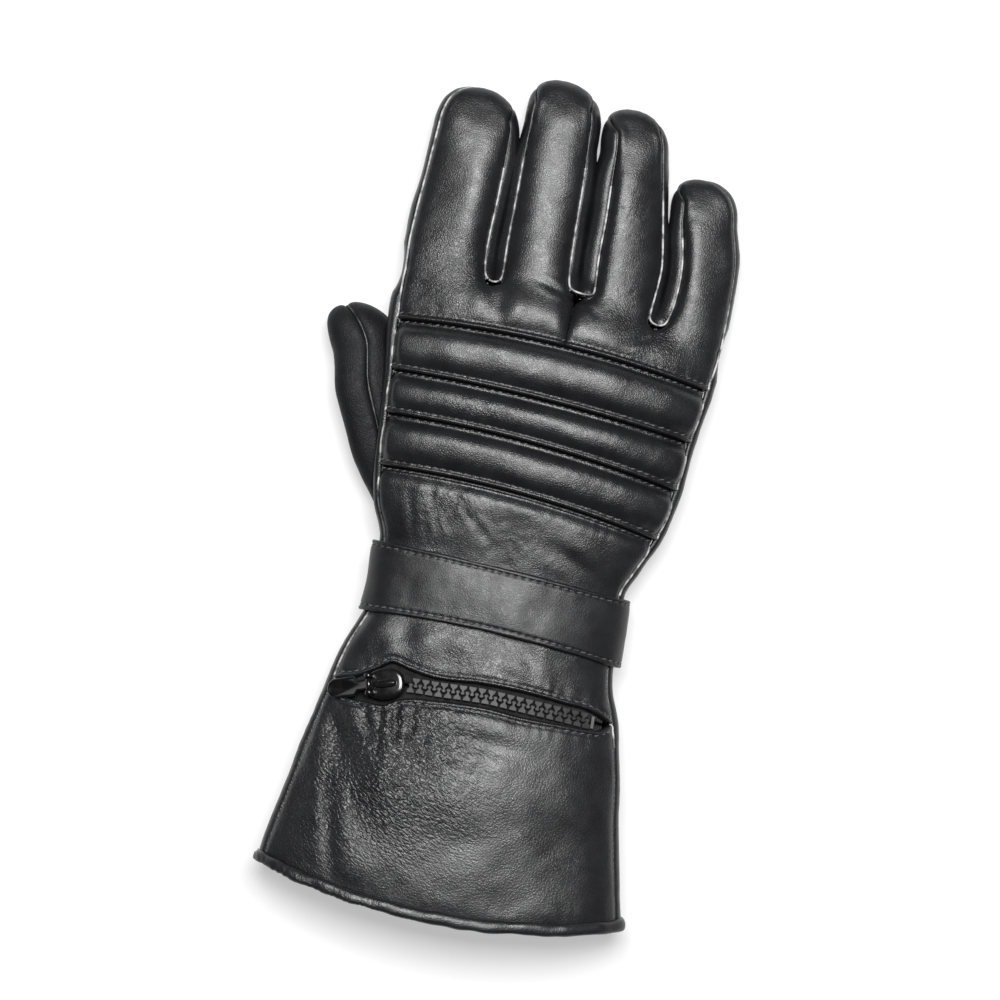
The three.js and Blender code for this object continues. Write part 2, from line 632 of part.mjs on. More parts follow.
// A tube through closed sections, with a fan of faces over each end
function closedTube(sections) {
  const tube = makePatch([sections]);
  const ends = [[sections[0], false], [lastOf(sections), true]];
  const known = new Map(tube.points.map((point, k) => [pointKey(point), k]));
  for (const [section, far] of ends) {
    const ids = section.map((point) => known.get(pointKey(point)));
    const centre = tube.points.length;
    const sum = section.slice(1).reduce((a, b) => a.map((value, axis) => value + b[axis]));
    tube.points.push(sum.map((value) => value / (section.length - 1)));
    for (let k = 0; k + 1 < ids.length; k += 1) {
      const edge = far ? [ids[k], ids[k + 1]] : [ids[k + 1], ids[k]];
      if (ids[k] !== ids[k + 1]) tube.faces.push([...edge, centre]);
    }
  }
  return tube;
}

const capStops = capSteps.map((step) => mix(thumb.cap, thumb.reach, step));
const thumbStops = [...thumb.stops, thumb.cap, ...capStops];

function thumbHalf(from, to) {
  return makePatch([thumbStops.map((along) => thumbRing(along, from, to, thumb.columns))]);
}
const thumbOuter = thumbHalf(thumb.seamLow, thumb.seamTop - 360);
const thumbInner = thumbHalf(thumb.seamTop, thumb.seamLow);
const thumbNormals = shareNormals([thumbOuter, thumbInner]);

// The palm is cut open for the thumb, and the thumb's root is cut off inside the hand
const thumbRoom = solidOf(closedTube(thumbStops.slice(0, -1).map((along) => (
  thumbRing(along, thumb.seamTop, thumb.seamTop - 360, 2 * thumb.columns + 4, seamGap)
))));
const allTurns = [...backTurns, ...palmTurns.slice(1)];
const insideHand = rowsBetween.thumbHole.map((at) => row(at, allTurns, -wall.palm));
const handRoom = solidOf(closedTube(insideHand));
const palmWall = solidOf(thicken(palm, wall.palm, normals));
const outerWall = solidOf(thicken(thumbOuter, wall.thumb, thumbNormals));
const innerWall = solidOf(thicken(thumbInner, wall.thumb, thumbNormals));
add('palm_panel', largestBody(palmWall.subtract(thumbRoom)), 'leather');
add('thumb_outer', largestBody(outerWall.subtract(handRoom)), 'leather');
add('thumb_inner', largestBody(innerWall.subtract(handRoom)), 'leather');

// The hem is a soft roll all round the mouth of the cuff
const fuller = (value) => Math.sign(value) * Math.abs(value) ** hem.fullness;
const hemProfile = even(hem.sides).map((share) => {
  const angle = 2 * Math.PI * share;
  return {
    down: hem.height / 2 * (1 + fuller(Math.cos(angle))),
    lift: mix(-hem.inside, hem.outside, (1 + fuller(Math.sin(angle))) / 2),
  };
});
const hemRows = hemProfile.map(({ down, lift }) => row(seamRows.hem - hem.gap - down, allTurns, lift));
add('hem_roll', geometryOf(makePatch([hemRows])), 'cuffLeather');

// A loose band or patch that lies on the skin has a wall of its own
function layer(name, rows, thickness, material) {
  const source = makePatch([rows]);
  add(name, geometryOf(thicken(source, thickness, shareNormals([source]), 0)), material);
}

// The strap starts at the left side seam, crosses the back and turns under the right edge
const strapUnder = palmTurns.slice(1).filter((turn) => turn < strap.to - 0.02);
const strapTurns = [strap.from, ...backTurns, ...strapUnder, strap.to];
const strapLift = (turn) => mix(strap.lift, strap.underLift, ease((turn - strap.dipsAt) / strap.dipsOver));
const strapRows = [strapLow, strapMid, strapTop].map((at) => (
  strapTurns.map((turn) => skin(at, turn, strapLift(turn) + strap.thickness))
));
layer('strap', strapRows, strap.thickness, 'strapLeather');

// Under the wrist one plain closure patch lies between the strap and the cuff
const patchTurns = palmTurns.filter((turn) => turn >= patch.from && turn <= patch.to);
const patchRows = [strapLow + patch.margin, strapMid, strapTop - patch.margin].map((at) => (
  row(at, patchTurns, patch.lift + patch.thickness)
));
layer('closure_patch', patchRows, patch.thickness, 'tape');

// Two tapes carry the zip behind its lips
const lipAt = (column, x) => read(lips, 'x', column, x);
const zipSkin = (turn) => skin(seamRows.zip, turn);
const tapeTurns = backTurns.filter((turn) => zipSkin(turn)[0] > tape.from && zipSkin(turn)[0] < tape.to);

function tapeRow(column, shift) {
  return tapeTurns.map((turn) => {
    const [x, y] = zipSkin(turn);
    return skin(seamRows.zip + lipAt(column, x) + shift - y, turn, -tape.depth);
  });
}
const upperTape = [tapeRow('teeth', tape.split), tapeRow('upper', tape.under)];
const lowerTape = [tapeRow('lower', -tape.under), tapeRow('teeth', -tape.split)];
layer('zip_tape_upper', upperTape, tape.thickness, 'tape');
layer('zip_tape_lower', lowerTape, tape.thickness, 'tape');

// A frame on the back: its x axis along a heading, its z axis out of the leather
function frameAt(x, y, heading, lift) {
  const spot = (spotX, spotY, height = 0) => new THREE.Vector3(...onBack(spotX, spotY, height));
  const ahead = spot(x + heading[0], y + heading[1]).sub(spot(x, y)).normalize();
  const beside = spot(x - heading[1], y + heading[0]).sub(spot(x, y));
  const up = new THREE.Vector3().crossVectors(ahead, beside).normalize();
  const side = new THREE.Vector3().crossVectors(up, ahead);
  return new THREE.Matrix4().makeBasis(ahead, side, up).setPosition(spot(x, y, lift));
}

// A solid from a closed geometry, with its shared corners merged
function solidFrom(geometry) {
  const source = geometry.clone();
  source.deleteAttribute('normal');
  source.deleteAttribute('uv');
  const merged = mergeVertices(source);
  const vertProperties = new Float32Array(merged.getAttribute('position').array);
  const triVerts = new Uint32Array(merged.getIndex().array);
  return new wasm.Manifold(new wasm.Mesh({ numProp: 3, vertProperties, triVerts }));
}

// The chain is a core with a tooth to one side or the other at every half pitch, in cells of one body
function chainBody() {
  const count = Math.round((chain.to - chain.from) / chain.pitch * 2);
  const across = [-chain.reach, -chain.core, chain.core, chain.reach];
  const filled = (k, cell) => k >= 0 && k < count && (cell === 1 || cell === (k % 2) * 2);
  const corner = (k, side, top) => {
    const x = mix(chain.from, chain.to, k / count);
    return onBack(x, lipAt('teeth', x) + across[side], (top ? chain.thickness : 0) - chain.depth);
  };
  const grids = [];
  const wallBetween = (k0, s0, k1, s1) => {
    const edge = (top) => [corner(k0, s0, top), corner(k1, s1, top)];
    grids.push([edge(false), edge(true)]);
  };
  for (let k = 0; k < count; k += 1) {
    for (let cell = 0; cell < 3; cell += 1) {
      if (!filled(k, cell)) continue;
      const line = (side, top) => [corner(k, side, top), corner(k + 1, side, top)];
      const level = (top) => [line(cell, top), line(cell + 1, top)];
      grids.push(level(true), level(false).reverse());
      if (!filled(k, cell - 1)) wallBetween(k, cell, k + 1, cell);
      if (!filled(k, cell + 1)) wallBetween(k + 1, cell + 1, k, cell + 1);
      if (!filled(k - 1, cell)) wallBetween(k, cell + 1, k, cell);
      if (!filled(k + 1, cell)) wallBetween(k + 1, cell, k + 1, cell + 1);
    }
  }
  return makePatch(grids);
}
add('zip_teeth', geometryOf(chainBody()), 'plastic');

// The slider is a waisted plate with two ears, and the tab turns on its barrel between them
const sliderFrame = new THREE.Group();
const sliderPlace = frameAt(slider.x, slider.y, slider.heading, -slider.sink);
sliderPlace.decompose(sliderFrame.position, sliderFrame.quaternion, sliderFrame.scale);
glove.add(sliderFrame);

function sliderOutline() {
  const { length, width, waist } = slider;
  const outline = new THREE.Shape();
  outline.moveTo(length / 2, -waist / 2);
  outline.lineTo(length / 2, waist / 2);
  outline.lineTo(length / 6, width / 2);
  outline.lineTo(-length / 6, width / 2);
  outline.lineTo(-length / 2, waist / 2);
  outline.lineTo(-length / 2, -waist / 2);
  outline.lineTo(-length / 6, -width / 2);
  outline.lineTo(length / 6, -width / 2);
  return outline;
}
const plate = new THREE.ExtrudeGeometry(sliderOutline(), {
  depth: slider.thickness - 2 * slider.bevel,
  bevelThickness: slider.bevel,
  bevelSize: slider.bevel,
  bevelSegments: 1,
});
plate.translate(0, 0, slider.bevel);
const hingeHeight = slider.thickness + hinge.lift;
const ears = [-1, 1].map((side) => {
  const profile = new THREE.Shape();
  profile.moveTo(-hinge.earLength / 2, slider.thickness / 2 - hingeHeight);
  profile.lineTo(hinge.earLength / 2, slider.thickness / 2 - hingeHeight);
  profile.absarc(0, 0, hinge.earCrown, 0, Math.PI, false);
  const options = { depth: hinge.earWidth, bevelEnabled: false, curveSegments: 6 };
  const ear = new THREE.ExtrudeGeometry(profile, options);
  const middle = side * (hinge.width + 2 * hinge.earGap + hinge.earWidth) / 2;
  ear.rotateX(Math.PI / 2);
  ear.translate(hinge.along, middle + hinge.earWidth / 2, hingeHeight);
  return solidFrom(ear);
});
add('zip_slider', largestBody(wasm.Manifold.union([solidFrom(plate), ...ears])), 'gloss', sliderFrame);

// At rest the tab leans down until its end lies just clear of the leather
const tabFrame = new THREE.Group();
tabFrame.position.set(hinge.along, 0, hingeHeight);
const restX = slider.x + slider.heading[0] * tab.restsAt;
const restY = slider.y + slider.heading[1] * tab.restsAt;
const restEnd = new THREE.Vector3(...onBack(restX, restY, tab.clearance));
restEnd.applyMatrix4(sliderPlace.clone().invert());
tabFrame.rotation.y = Math.atan2(hingeHeight - restEnd.z, restEnd.x - hinge.along);
sliderFrame.add(tabFrame);

function tabOutline() {
  const outline = new THREE.Shape();
  const straight = tab.reach - tab.width / 2;
  outline.moveTo(0, -tab.neckWidth / 2);
  outline.lineTo(tab.neck, -tab.neckWidth / 2);
  outline.lineTo(tab.neck + tab.shoulder, -tab.width / 2);
  outline.lineTo(straight, -tab.width / 2);
  outline.absarc(straight, 0, tab.width / 2, -Math.PI / 2, Math.PI / 2, false);
  outline.lineTo(tab.neck + tab.shoulder, tab.width / 2);
  outline.lineTo(tab.neck, tab.neckWidth / 2);
  outline.lineTo(0, tab.neckWidth / 2);
  return outline;
}
const bladeOptions = { depth: tab.thickness, bevelEnabled: false, curveSegments: 8 };
const blade = new THREE.ExtrudeGeometry(tabOutline(), bladeOptions);
blade.translate(0, 0, -tab.thickness / 2);
const barrel = new THREE.CylinderGeometry(hinge.radius, hinge.radius, hinge.width, 12);
add('pull_tab', largestBody(solidFrom(blade).add(solidFrom(barrel))), 'gloss', tabFrame);

export default glove;
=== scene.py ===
import math

import bpy
import numpy as np
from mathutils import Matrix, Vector
from mathutils.bvhtree import BVHTree
from mathutils.kdtree import KDTree


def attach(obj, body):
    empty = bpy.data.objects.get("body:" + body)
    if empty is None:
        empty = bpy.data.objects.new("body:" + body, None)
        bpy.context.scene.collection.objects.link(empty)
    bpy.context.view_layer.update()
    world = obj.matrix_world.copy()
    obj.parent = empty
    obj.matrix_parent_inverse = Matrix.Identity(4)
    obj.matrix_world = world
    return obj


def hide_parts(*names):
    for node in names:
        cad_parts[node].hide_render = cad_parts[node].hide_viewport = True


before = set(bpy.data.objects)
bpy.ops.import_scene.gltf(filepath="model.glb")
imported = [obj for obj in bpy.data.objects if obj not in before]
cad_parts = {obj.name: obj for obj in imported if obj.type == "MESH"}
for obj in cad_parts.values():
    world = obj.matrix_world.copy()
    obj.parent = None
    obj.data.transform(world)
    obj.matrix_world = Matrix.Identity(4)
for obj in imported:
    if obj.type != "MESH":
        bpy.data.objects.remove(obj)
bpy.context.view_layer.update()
print("frame loaded")

mm = 0.001  # the tables below are in millimetres, as a pattern cutter writes them


# Camera, floor and lights
# The photo is taken from straight above, and the glove leans 9 degrees in it
view = {
    "pixel": 0.39, "middlePixel": (501.6, 500.0), "image": 1000, "lean": 9.0, "height": 1.9,
    "plane": 20.0,  # the level of the back, where a pixel has its size
}


def placeOfPixel(u, v):
    lean = math.radians(view["lean"])
    right, down = u - view["middlePixel"][0], v - view["middlePixel"][1]
    x = (right * math.cos(lean) + down * math.sin(lean)) * view["pixel"]
    y = (right * math.sin(lean) - down * math.cos(lean)) * view["pixel"]
    return x, y


def addCamera():
    camera = bpy.data.objects.new("camera", bpy.data.cameras.new("camera"))
    bpy.context.scene.collection.objects.link(camera)
    halfImage = view["image"] / 2
    x, y = placeOfPixel(halfImage, halfImage)
    camera.location = (x * mm, y * mm, view["height"])
    camera.rotation_euler = (0, 0, math.radians(view["lean"]))
    halfFrame = halfImage * view["pixel"] * mm
    camera.data.angle = 2 * math.atan(halfFrame / (view["height"] - view["plane"] * mm))
    bpy.context.scene.camera = camera


studio = {
    "floorSize": 8.0,
    "floorColour": (0.42, 0.42, 0.42, 1),
    "floorGlow": 0.47,
    "floorRoughness": 0.9,
    "roomLight": 0.04,
    "lamps": [
        # name, place, aimed at, width, height, watts
        ("overhead", (0.0, 0.62, 2.22), (0, 0.05, 0), 1.1, 0.85, 80),
        ("left fill", (-1.6, 0.2, 1.1), (0, 0, 0), 0.8, 1.4, 0.4),
        ("right fill", (1.7, -0.2, 1.0), (0, 0, 0), 0.6, 1.4, 0.6),
        ("spark", (0.45, 0.45, 1.6), (0, 0, 0), 0.12, 0.12, 1.2),
    ],
}


def addStudio():
    half = studio["floorSize"] / 2
    mesh = bpy.data.meshes.new("floor")
    corners = [(x * half, y * half, 0) for x, y in ((-1, -1), (1, -1), (1, 1), (-1, 1))]
    mesh.from_pydata(corners, [], [(0, 1, 2, 3)])
    floor = bpy.data.objects.new("floor", mesh)
    bpy.context.scene.collection.objects.link(floor)
    paper = bpy.data.materials.new("white paper")
    paper.use_nodes = True
    shader = paper.node_tree.nodes["Principled BSDF"]
    shader.inputs["Base Color"].default_value = studio["floorColour"]
    shader.inputs["Roughness"].default_value = studio["floorRoughness"]
    shader.inputs["Emission Color"].default_value = (1, 1, 1, 1)
    shader.inputs["Emission Strength"].default_value = studio["floorGlow"]
    mesh.materials.append(paper)
    for name, place, aim, width, height, watts in studio["lamps"]:
        lamp = bpy.data.lights.new(name, "AREA")
        lamp.shape = "RECTANGLE"
        lamp.size, lamp.size_y = width, height
        lamp.energy = watts
        lampObject = bpy.data.objects.new(name, lamp)
        lampObject.location = place
        lampObject.rotation_euler = (Vector(aim) - Vector(place)).to_track_quat("-Z", "Y").to_euler()
        bpy.context.scene.collection.objects.link(lampObject)
    world = bpy.data.worlds.new("room")
    world.use_nodes = True
    background = world.node_tree.nodes["Background"]
    background.inputs["Color"].default_value = (1, 1, 1, 1)
    background.inputs["Strength"].default_value = studio["roomLight"]
    bpy.context.scene.world = world


addCamera()
addStudio()
print("camera, floor and lights set")


# Small helpers for curves, tables and noise
def mix(a, b, t):
    return a + (b - a) * t


def clamp(t):
    return np.clip(t, 0, 1)


def ease(t):
    t = clamp(t)
    return t * t * (3 - 2 * t)


def tableOf(names, rows):
    return {name: np.array(column, float) for name, column in zip(names, zip(*rows))}


# A smooth curve through one column of a table, straight beyond its ends
def readTable(table, key, column, at):
    places, values = table[key], table[column]
    at = np.asarray(at, float)
    gaps = np.diff(places)
    slopes = np.diff(values) / gaps
    tangents = np.concatenate((slopes[:1], np.zeros(len(slopes) - 1), slopes[-1:]))
    inner = (slopes[:-1] * gaps[1:] + slopes[1:] * gaps[:-1]) / (gaps[:-1] + gaps[1:])
    tangents[1:-1] = np.where(slopes[:-1] * slopes[1:] > 0, inner, 0)
    cell = np.clip(np.searchsorted(places, at, side="right") - 1, 0, len(gaps) - 1)
    span = gaps[cell]
    t = (at - places[cell]) / span
    curve = ((1 + 2 * t) * (1 - t) ** 2 * values[cell] + t * (1 - t) ** 2 * span * tangents[cell]
             + t * t * (3 - 2 * t) * values[cell + 1] + t * t * (t - 1) * span * tangents[cell + 1])
    below = values[0] + slopes[0] * (at - places[0])
    above = values[-1] + slopes[-1] * (at - places[-1])
    return np.where(at <= places[0], below, np.where(at >= places[-1], above, curve))


waveSpread = (0.7, 1.5)


# Soft random swell: many crossed waves, or waves that run along one heading only
def ripple(points, wavelength, seed, heading=None, fan=20.0, count=26):
    random = np.random.default_rng(seed)
    value = np.zeros(len(points))
    for k in range(count):
        if heading is None:
            way = random.normal(size=3)
            way /= np.linalg.norm(way)
        else:
            angle = math.radians(heading + random.uniform(-fan, fan))
            way = np.array((-math.sin(angle), math.cos(angle), 0.0))
        length = wavelength * random.uniform(*waveSpread)
        value += np.sin(points @ way * (2 * math.pi / length) + random.uniform(0, 2 * math.pi))
    return value * math.sqrt(2 / count)


# Distances along a line of points, from its start
def lengthsAlong(line):
    return np.concatenate(([0], np.cumsum(np.linalg.norm(np.diff(line, axis=0), axis=1))))


def treeOf(points):
    tree = KDTree(len(points))
    for k, point in enumerate(points):
        tree.insert(point, k)
    tree.balance()
    return tree


# The hand's skin, as the cut pattern gives it: a row across the hand for each place along it
trunk = tableOf(
    ("at", "left", "right", "slant", "bow", "floor", "top", "edgeL", "edgeR", "tuck", "inset"),
    [
        (-160.8, -72.2, 71.6, -5, -9.2, 1.6, 46, 22, 22, 2.6, 1.7),
        (-120, -64.5, 64.9, -4, -4, 1.6, 43, 21, 21, 2.6, 1.7),
        (-98, -60.4, 62.6, -2, -0.5, 1.6, 41, 20.5, 20.5, 2.6, 1.7),
        (-76, -56.4, 58.2, 0, 3, 3, 39, 20, 20, 2.6, 1.7),
        (-62, -51.8, 54.6, -4, 3, 4.5, 37.5, 20, 19.5, 2.6, 1.7),
        (-51, -46.2, 53.6, -7, 3, 6, 36, 20, 19, 2.6, 1.7),
        (-26, -44.8, 53.2, -8.3, 1, 6, 34, 20, 19, 2.5, 1.7),
        (-11, -49.4, 57.6, -12, 3, 2.5, 34.5, 22, 18, 2.1, 1.7),
        (3.4, -51.3, 64.2, -12.9, 4, 0, 35, 23.5, 18, 1.8, 1.7),
        (23.4, -52.2, 68.9, -13.3, 3.7, 0, 35.5, 24, 18, 1.7, 1.7),
        (40.7, -53, 71.5, -10.9, 2.7, 0, 35.5, 24, 17, 1.7, 1.9),
        (63, -54.8, 75, -9.5, 4.7, 0, 34, 21, 16, 2.1, 3.2),
        (81, -55.3, 77.4, -14, 4, 0, 30, 16, 14, 2.5, 3.6),
    ],
)
trunkPower = {"top": 2.2, "low": 2.6, "sag": 3.0}
seamRows = {
    "hem": -160.8, "zip": -76.0, "strapLow": -51.0, "strapMid": -38.5, "strapTop": -26.0,
    "ribs": (3.4, 23.4, 40.7, 63.0), "fork": 81.0, "sideInset": 1.7,
}
crotch = {"drop": 4.0, "low": 7.0}
forks = ((-54.9, 83.6), (-16.3, 81.5), (16.8, 82.0), (47.1, 75.0), (77.4, 69.5))
fingerPower = {"top": 2.4, "low": 2.4, "cap": 2.4, "sag": 1.5}
settle = {"edge": 12.0, "gap": 3.0, "seams": 14.0, "square": 18.0, "fork": 6.5}
seamsMeet = {"from": 0.45, "at": 0.8, "angle": 10.0}
lowSeamInset = 3.0
contactGap = 0.3
thinnest = 5e-7  # the half width left at a finger's very tip
fingers = [
    {"name": "index", "origin": (-35.2, 90), "lean": 3.4, "cap": 50, "reach": 68.4, "tipShift": -1.2,
     "edge": 11.5, "nose": 10, "seamLeft": 1.8, "seamRight": 3.2, "crownRoot": 28, "outer": "left",
     "girth": [(6, -18.7, 17.8, 26.5), (27, -18.1, 17.6, 25.2), (50, -17.2, 17.1, 24.2)]},
    {"name": "middle", "origin": (0, 95.6), "lean": 1, "cap": 52, "reach": 70.5, "tipShift": -2.3,
     "edge": 11.5, "nose": 10, "seamLeft": 2.6, "seamRight": 3.4, "crownRoot": 30, "outer": "",
     "girth": [(4, -16.8, 16.1, 27.5), (27, -16.4, 15.8, 25.6), (52, -16, 15.1, 24.4)]},
    {"name": "ring", "origin": (33.5, 100.9), "lean": -4.6, "cap": 41, "reach": 58.8, "tipShift": -3,
     "edge": 11, "nose": 9.5, "seamLeft": 6.2, "seamRight": 1.6, "crownRoot": 28.5, "outer": "",
     "girth": [(-2, -17.6, 16.5, 26), (15, -15.8, 15.6, 24.6), (41, -13.9, 13.7, 23.2)]},
    {"name": "little", "origin": (63.4, 81.9), "lean": -4.2, "cap": 38, "reach": 54.9, "tipShift": -2.6,
     "edge": 10, "nose": 9, "seamLeft": 4.6, "seamRight": 1.2, "crownRoot": 24.5, "outer": "right",
     "girth": [(8, -12.9, 15.1, 23.3), (20, -11.7, 15.9, 22.3), (38, -13.2, 13.8, 21.2)]},
]
thumb = {
    "origin": (-39.5, -1.5), "lean": -22.1, "cap": 58.0, "reach": 75.6, "tipShift": -4.0, "nose": 10.0,
    "seamTop": 80.0, "seamLow": -100.0,
    "girth": tableOf(("at", "left", "right", "floor", "top", "shear"), [
        (-12, -10, 8, 7, 18, 0),
        (8, -13.6, 11.4, 1, 20.5, 3),
        (23, -14.7, 11.6, 0, 22, 5),
        (40, -14.9, 11.6, 0, 22.5, 5),
        (58, -14, 11.8, 0, 21.5, 2),
    ]),
}
lips = tableOf(("x", "upper", "lower", "teeth"), [
    (-54, -78.2, -78.2, -79),
    (-47, -76.8, -84.8, -79),
    (-40, -73.2, -85.6, -78.6),
    (-33, -69.3, -85.8, -77.3),
    (-26, -70.6, -82.2, -76.1),
    (-12, -72.2, -80.4, -75.8),
    (4, -71.4, -80, -75.6),
    (20, -72, -81.5, -76.7),
    (36, -73.8, -82.2, -78),
    (49, -75.8, -82.8, -79.2),
    (56, -79.4, -79.4, -79.8),
])


# A cross section is an upper and a lower half oval joined by straight sides, cut flat at the floor
def ovalPoints(shape, angle, upper):
    cosine, sine = np.cos(np.radians(angle)), np.abs(np.sin(np.radians(angle)))
    onLeft = cosine < 0
    power = np.where(upper, shape["powerTop"], np.where(onLeft, shape["powerLeft"], shape["powerRight"]))
    x = shape["middle"] + shape["half"] * np.sign(cosine) * np.abs(cosine) ** (2 / power)
    swing = sine ** (2 / power)
    high = mix(np.where(onLeft, shape["highLeft"], shape["highRight"]), shape["crown"], swing)
    low = mix(np.where(onLeft, shape["lowLeft"], shape["lowRight"]), shape["floor"] - shape["sag"], swing)
    return x, np.where(upper, high, np.maximum(shape["floor"], low))


# One arc of a section from a start to an end angle, for many sections at once
def ovalArcs(shape, start, end, steps=150):
    start, end = np.asarray(start, float), np.asarray(end, float)
    cutRight = np.minimum(np.maximum(0, end), start)
    cutLeft = np.minimum(np.maximum(-180, end), start)
    pieces = (
        (start, cutRight, start > 0),
        (cutRight, cutLeft, end >= 0),
        (cutLeft, end, (end < -180) | (end >= 0)),
    )
    share = np.linspace(0, 1, steps + 1)
    column = {name: np.broadcast_to(value, start.shape)[:, None] for name, value in shape.items()}
    runs = [
        ovalPoints(column, mix(first[:, None], last[:, None], share), upper[:, None])
        for first, last, upper in pieces
    ]
    x = np.concatenate([run[0] for run in runs], axis=1)
    z = np.concatenate([run[1] for run in runs], axis=1)
    stride = np.hypot(np.diff(x, axis=1), np.diff(z, axis=1))
    length = np.concatenate((np.zeros((len(x), 1)), np.cumsum(stride, axis=1)), axis=1)
    return x, z, length


# Points at even steps along each of some section curves
def evenColumns(arcs, columns):
    x, z, length = arcs
    share = np.arange(columns + 1) / columns
    side = np.array([np.interp(share * length[k, -1], length[k], x[k]) for k in range(len(x))])
    height = np.array([np.interp(share * length[k, -1], length[k], z[k]) for k in range(len(x))])
    return side, height


# The angle on a section at which a seam lies, a little in from the section's side
def seamAngle(half, power, inset):
    return np.degrees(np.arccos((1 - inset / half) ** (power / 2)))


def trunkShape(at):
    def column(name):
        return readTable(trunk, "at", name, at)
    left, right, edgeL, edgeR = column("left"), column("right"), column("edgeL"), column("edgeR")
    return {
        "left": left, "right": right, "slant": column("slant"), "bow": column("bow"),
        "middle": (left + right) / 2, "half": (right - left) / 2,
        "crown": column("top"), "floor": column("floor"), "sag": trunkPower["sag"],
        "highLeft": edgeL, "lowLeft": edgeL, "highRight": edgeR, "lowRight": edgeR,
        "powerTop": trunkPower["top"], "powerLeft": column("tuck"), "powerRight": trunkPower["low"],
        "inset": column("inset"),
    }


skinProbe = 0.004  # how far to either side the skin is felt for its slope, as a share of the arc
skinBatch = 1200  # sections worked out at once


# Points of the hand and cuff: turn runs 0 to 1 over the back from left to right, and 1 to 2 back under it
def skin(at, turn, lift=0.0):
    at, turn, lift = np.broadcast_arrays(np.asarray(at, float), np.asarray(turn, float), lift)
    size = at.shape
    at, turn, lift = at.ravel(), turn.ravel(), lift.ravel()
    around = np.mod(turn, 2)
    overBack = (around < 1) | (turn == 1)
    fraction = np.where(turn == 1, 1.0, np.mod(around, 1))
    points = np.zeros((len(at), 3))
    for back in (True, False):
        members = np.flatnonzero(overBack == back)
        if len(members) == 0:
            continue
        stations, which = np.unique(np.round(at[members], 6), return_inverse=True)
        order = np.argsort(which, kind="stable")
        firsts = np.searchsorted(which[order], np.arange(len(stations) + 1))
        for begin in range(0, len(stations), skinBatch):
            some = stations[begin:begin + skinBatch]
            shape = trunkShape(some)
            left = seamAngle(shape["half"], trunkPower["top"], shape["inset"])
            right = seamAngle(shape["half"], trunkPower["top"], seamRows["sideInset"])
            start, end = (180 - left, right) if back else (right, -180 - left)
            x, z, length = ovalArcs(shape, start, end)
            for k in range(len(some)):
                ids = members[order[firsts[begin + k]:firsts[begin + k + 1]]]
                total = length[k, -1]
                targets = [clamp(fraction[ids] + step) * total for step in (-skinProbe, 0, skinProbe)]
                xs = [np.interp(target, length[k], x[k]) for target in targets]
                zs = [np.interp(target, length[k], z[k]) for target in targets]
                run = np.hypot(xs[2] - xs[0], zs[2] - zs[0])
                px = xs[1] - lift[ids] * (zs[2] - zs[0]) / run
                pz = zs[1] + lift[ids] * (xs[2] - xs[0]) / run
                across = (xs[1] - shape["left"][k]) / (shape["right"][k] - shape["left"][k])
                bend = shape["slant"][k] * (across - 0.5) - shape["bow"][k] * (2 * across - 1) ** 2
                points[ids] = np.stack((px, some[k] + bend, pz), axis=1)
    return points.reshape(*size, 3)


# Each finger runs along its own line, and its first row is laid through the forks beside it
for number, finger in enumerate(fingers):
    lean = math.radians(finger["lean"])
    finger["ahead"] = np.array((math.sin(lean), math.cos(lean)))
    finger["across"] = np.array((math.cos(lean), -math.sin(lean)))
    sides = [np.array(forks[number + k]) - np.array(finger["origin"]) for k in (0, 1)]
    alongs = [side @ finger["ahead"] for side in sides]
    finger["root"] = sum(alongs) / 2
    finger["skew"] = [along - finger["root"] for along in alongs]
    beside = [fingers[max(0, number - 1)], fingers[min(3, number + 1)]]
    finger["forkHigh"] = [min(finger["crownRoot"], other["crownRoot"]) - crotch["drop"] for other in beside]
    first = (finger["root"], sides[0] @ finger["across"], sides[1] @ finger["across"], finger["crownRoot"])
    finger["girth"] = tableOf(("at", "left", "right", "top"), [first] + finger["girth"])


# Where a place lies on the shaft, how far into the cap, and how wide the cap still is there
def capAt(finger, along):
    held = np.minimum(along, finger["cap"])
    past = clamp((along - finger["cap"]) / (finger["reach"] - finger["cap"]))
    return held, past, (1 - past ** fingerPower["cap"]) ** (1 / fingerPower["cap"])


def fingerShape(finger, along):
    held, past, narrow = capAt(finger, along)
    fromRoot = ease((along - finger["root"]) / settle["edge"])
    apart = contactGap * ease((along - finger["root"]) / settle["gap"])
    left = readTable(finger["girth"], "at", "left", held) + (0 if finger["outer"] == "left" else apart)
    right = readTable(finger["girth"], "at", "right", held) - (0 if finger["outer"] == "right" else apart)
    top = readTable(finger["girth"], "at", "top", held)
    handEdge = {"left": trunk["edgeL"][-1], "right": trunk["edgeR"][-1]}

    def base(side, start):
        root = handEdge[side] if finger["outer"] == side else start
        return mix(finger["nose"], mix(root, finger["edge"], fromRoot), narrow)
    return {
        "middle": (left + right) / 2 + finger["tipShift"] * past ** 2,
        "half": (right - left) / 2 * narrow,
        "full": (right - left) / 2, "past": past, "crown": mix(finger["nose"], top, narrow),
        "floor": mix(finger["nose"], 0, narrow), "sag": fingerPower["sag"] * narrow,
        "highLeft": base("left", finger["forkHigh"][0]), "lowLeft": base("left", crotch["low"]),
        "highRight": base("right", finger["forkHigh"][1]), "lowRight": base("right", crotch["low"]),
        "powerTop": fingerPower["top"], "powerLeft": fingerPower["low"], "powerRight": fingerPower["low"],
    }


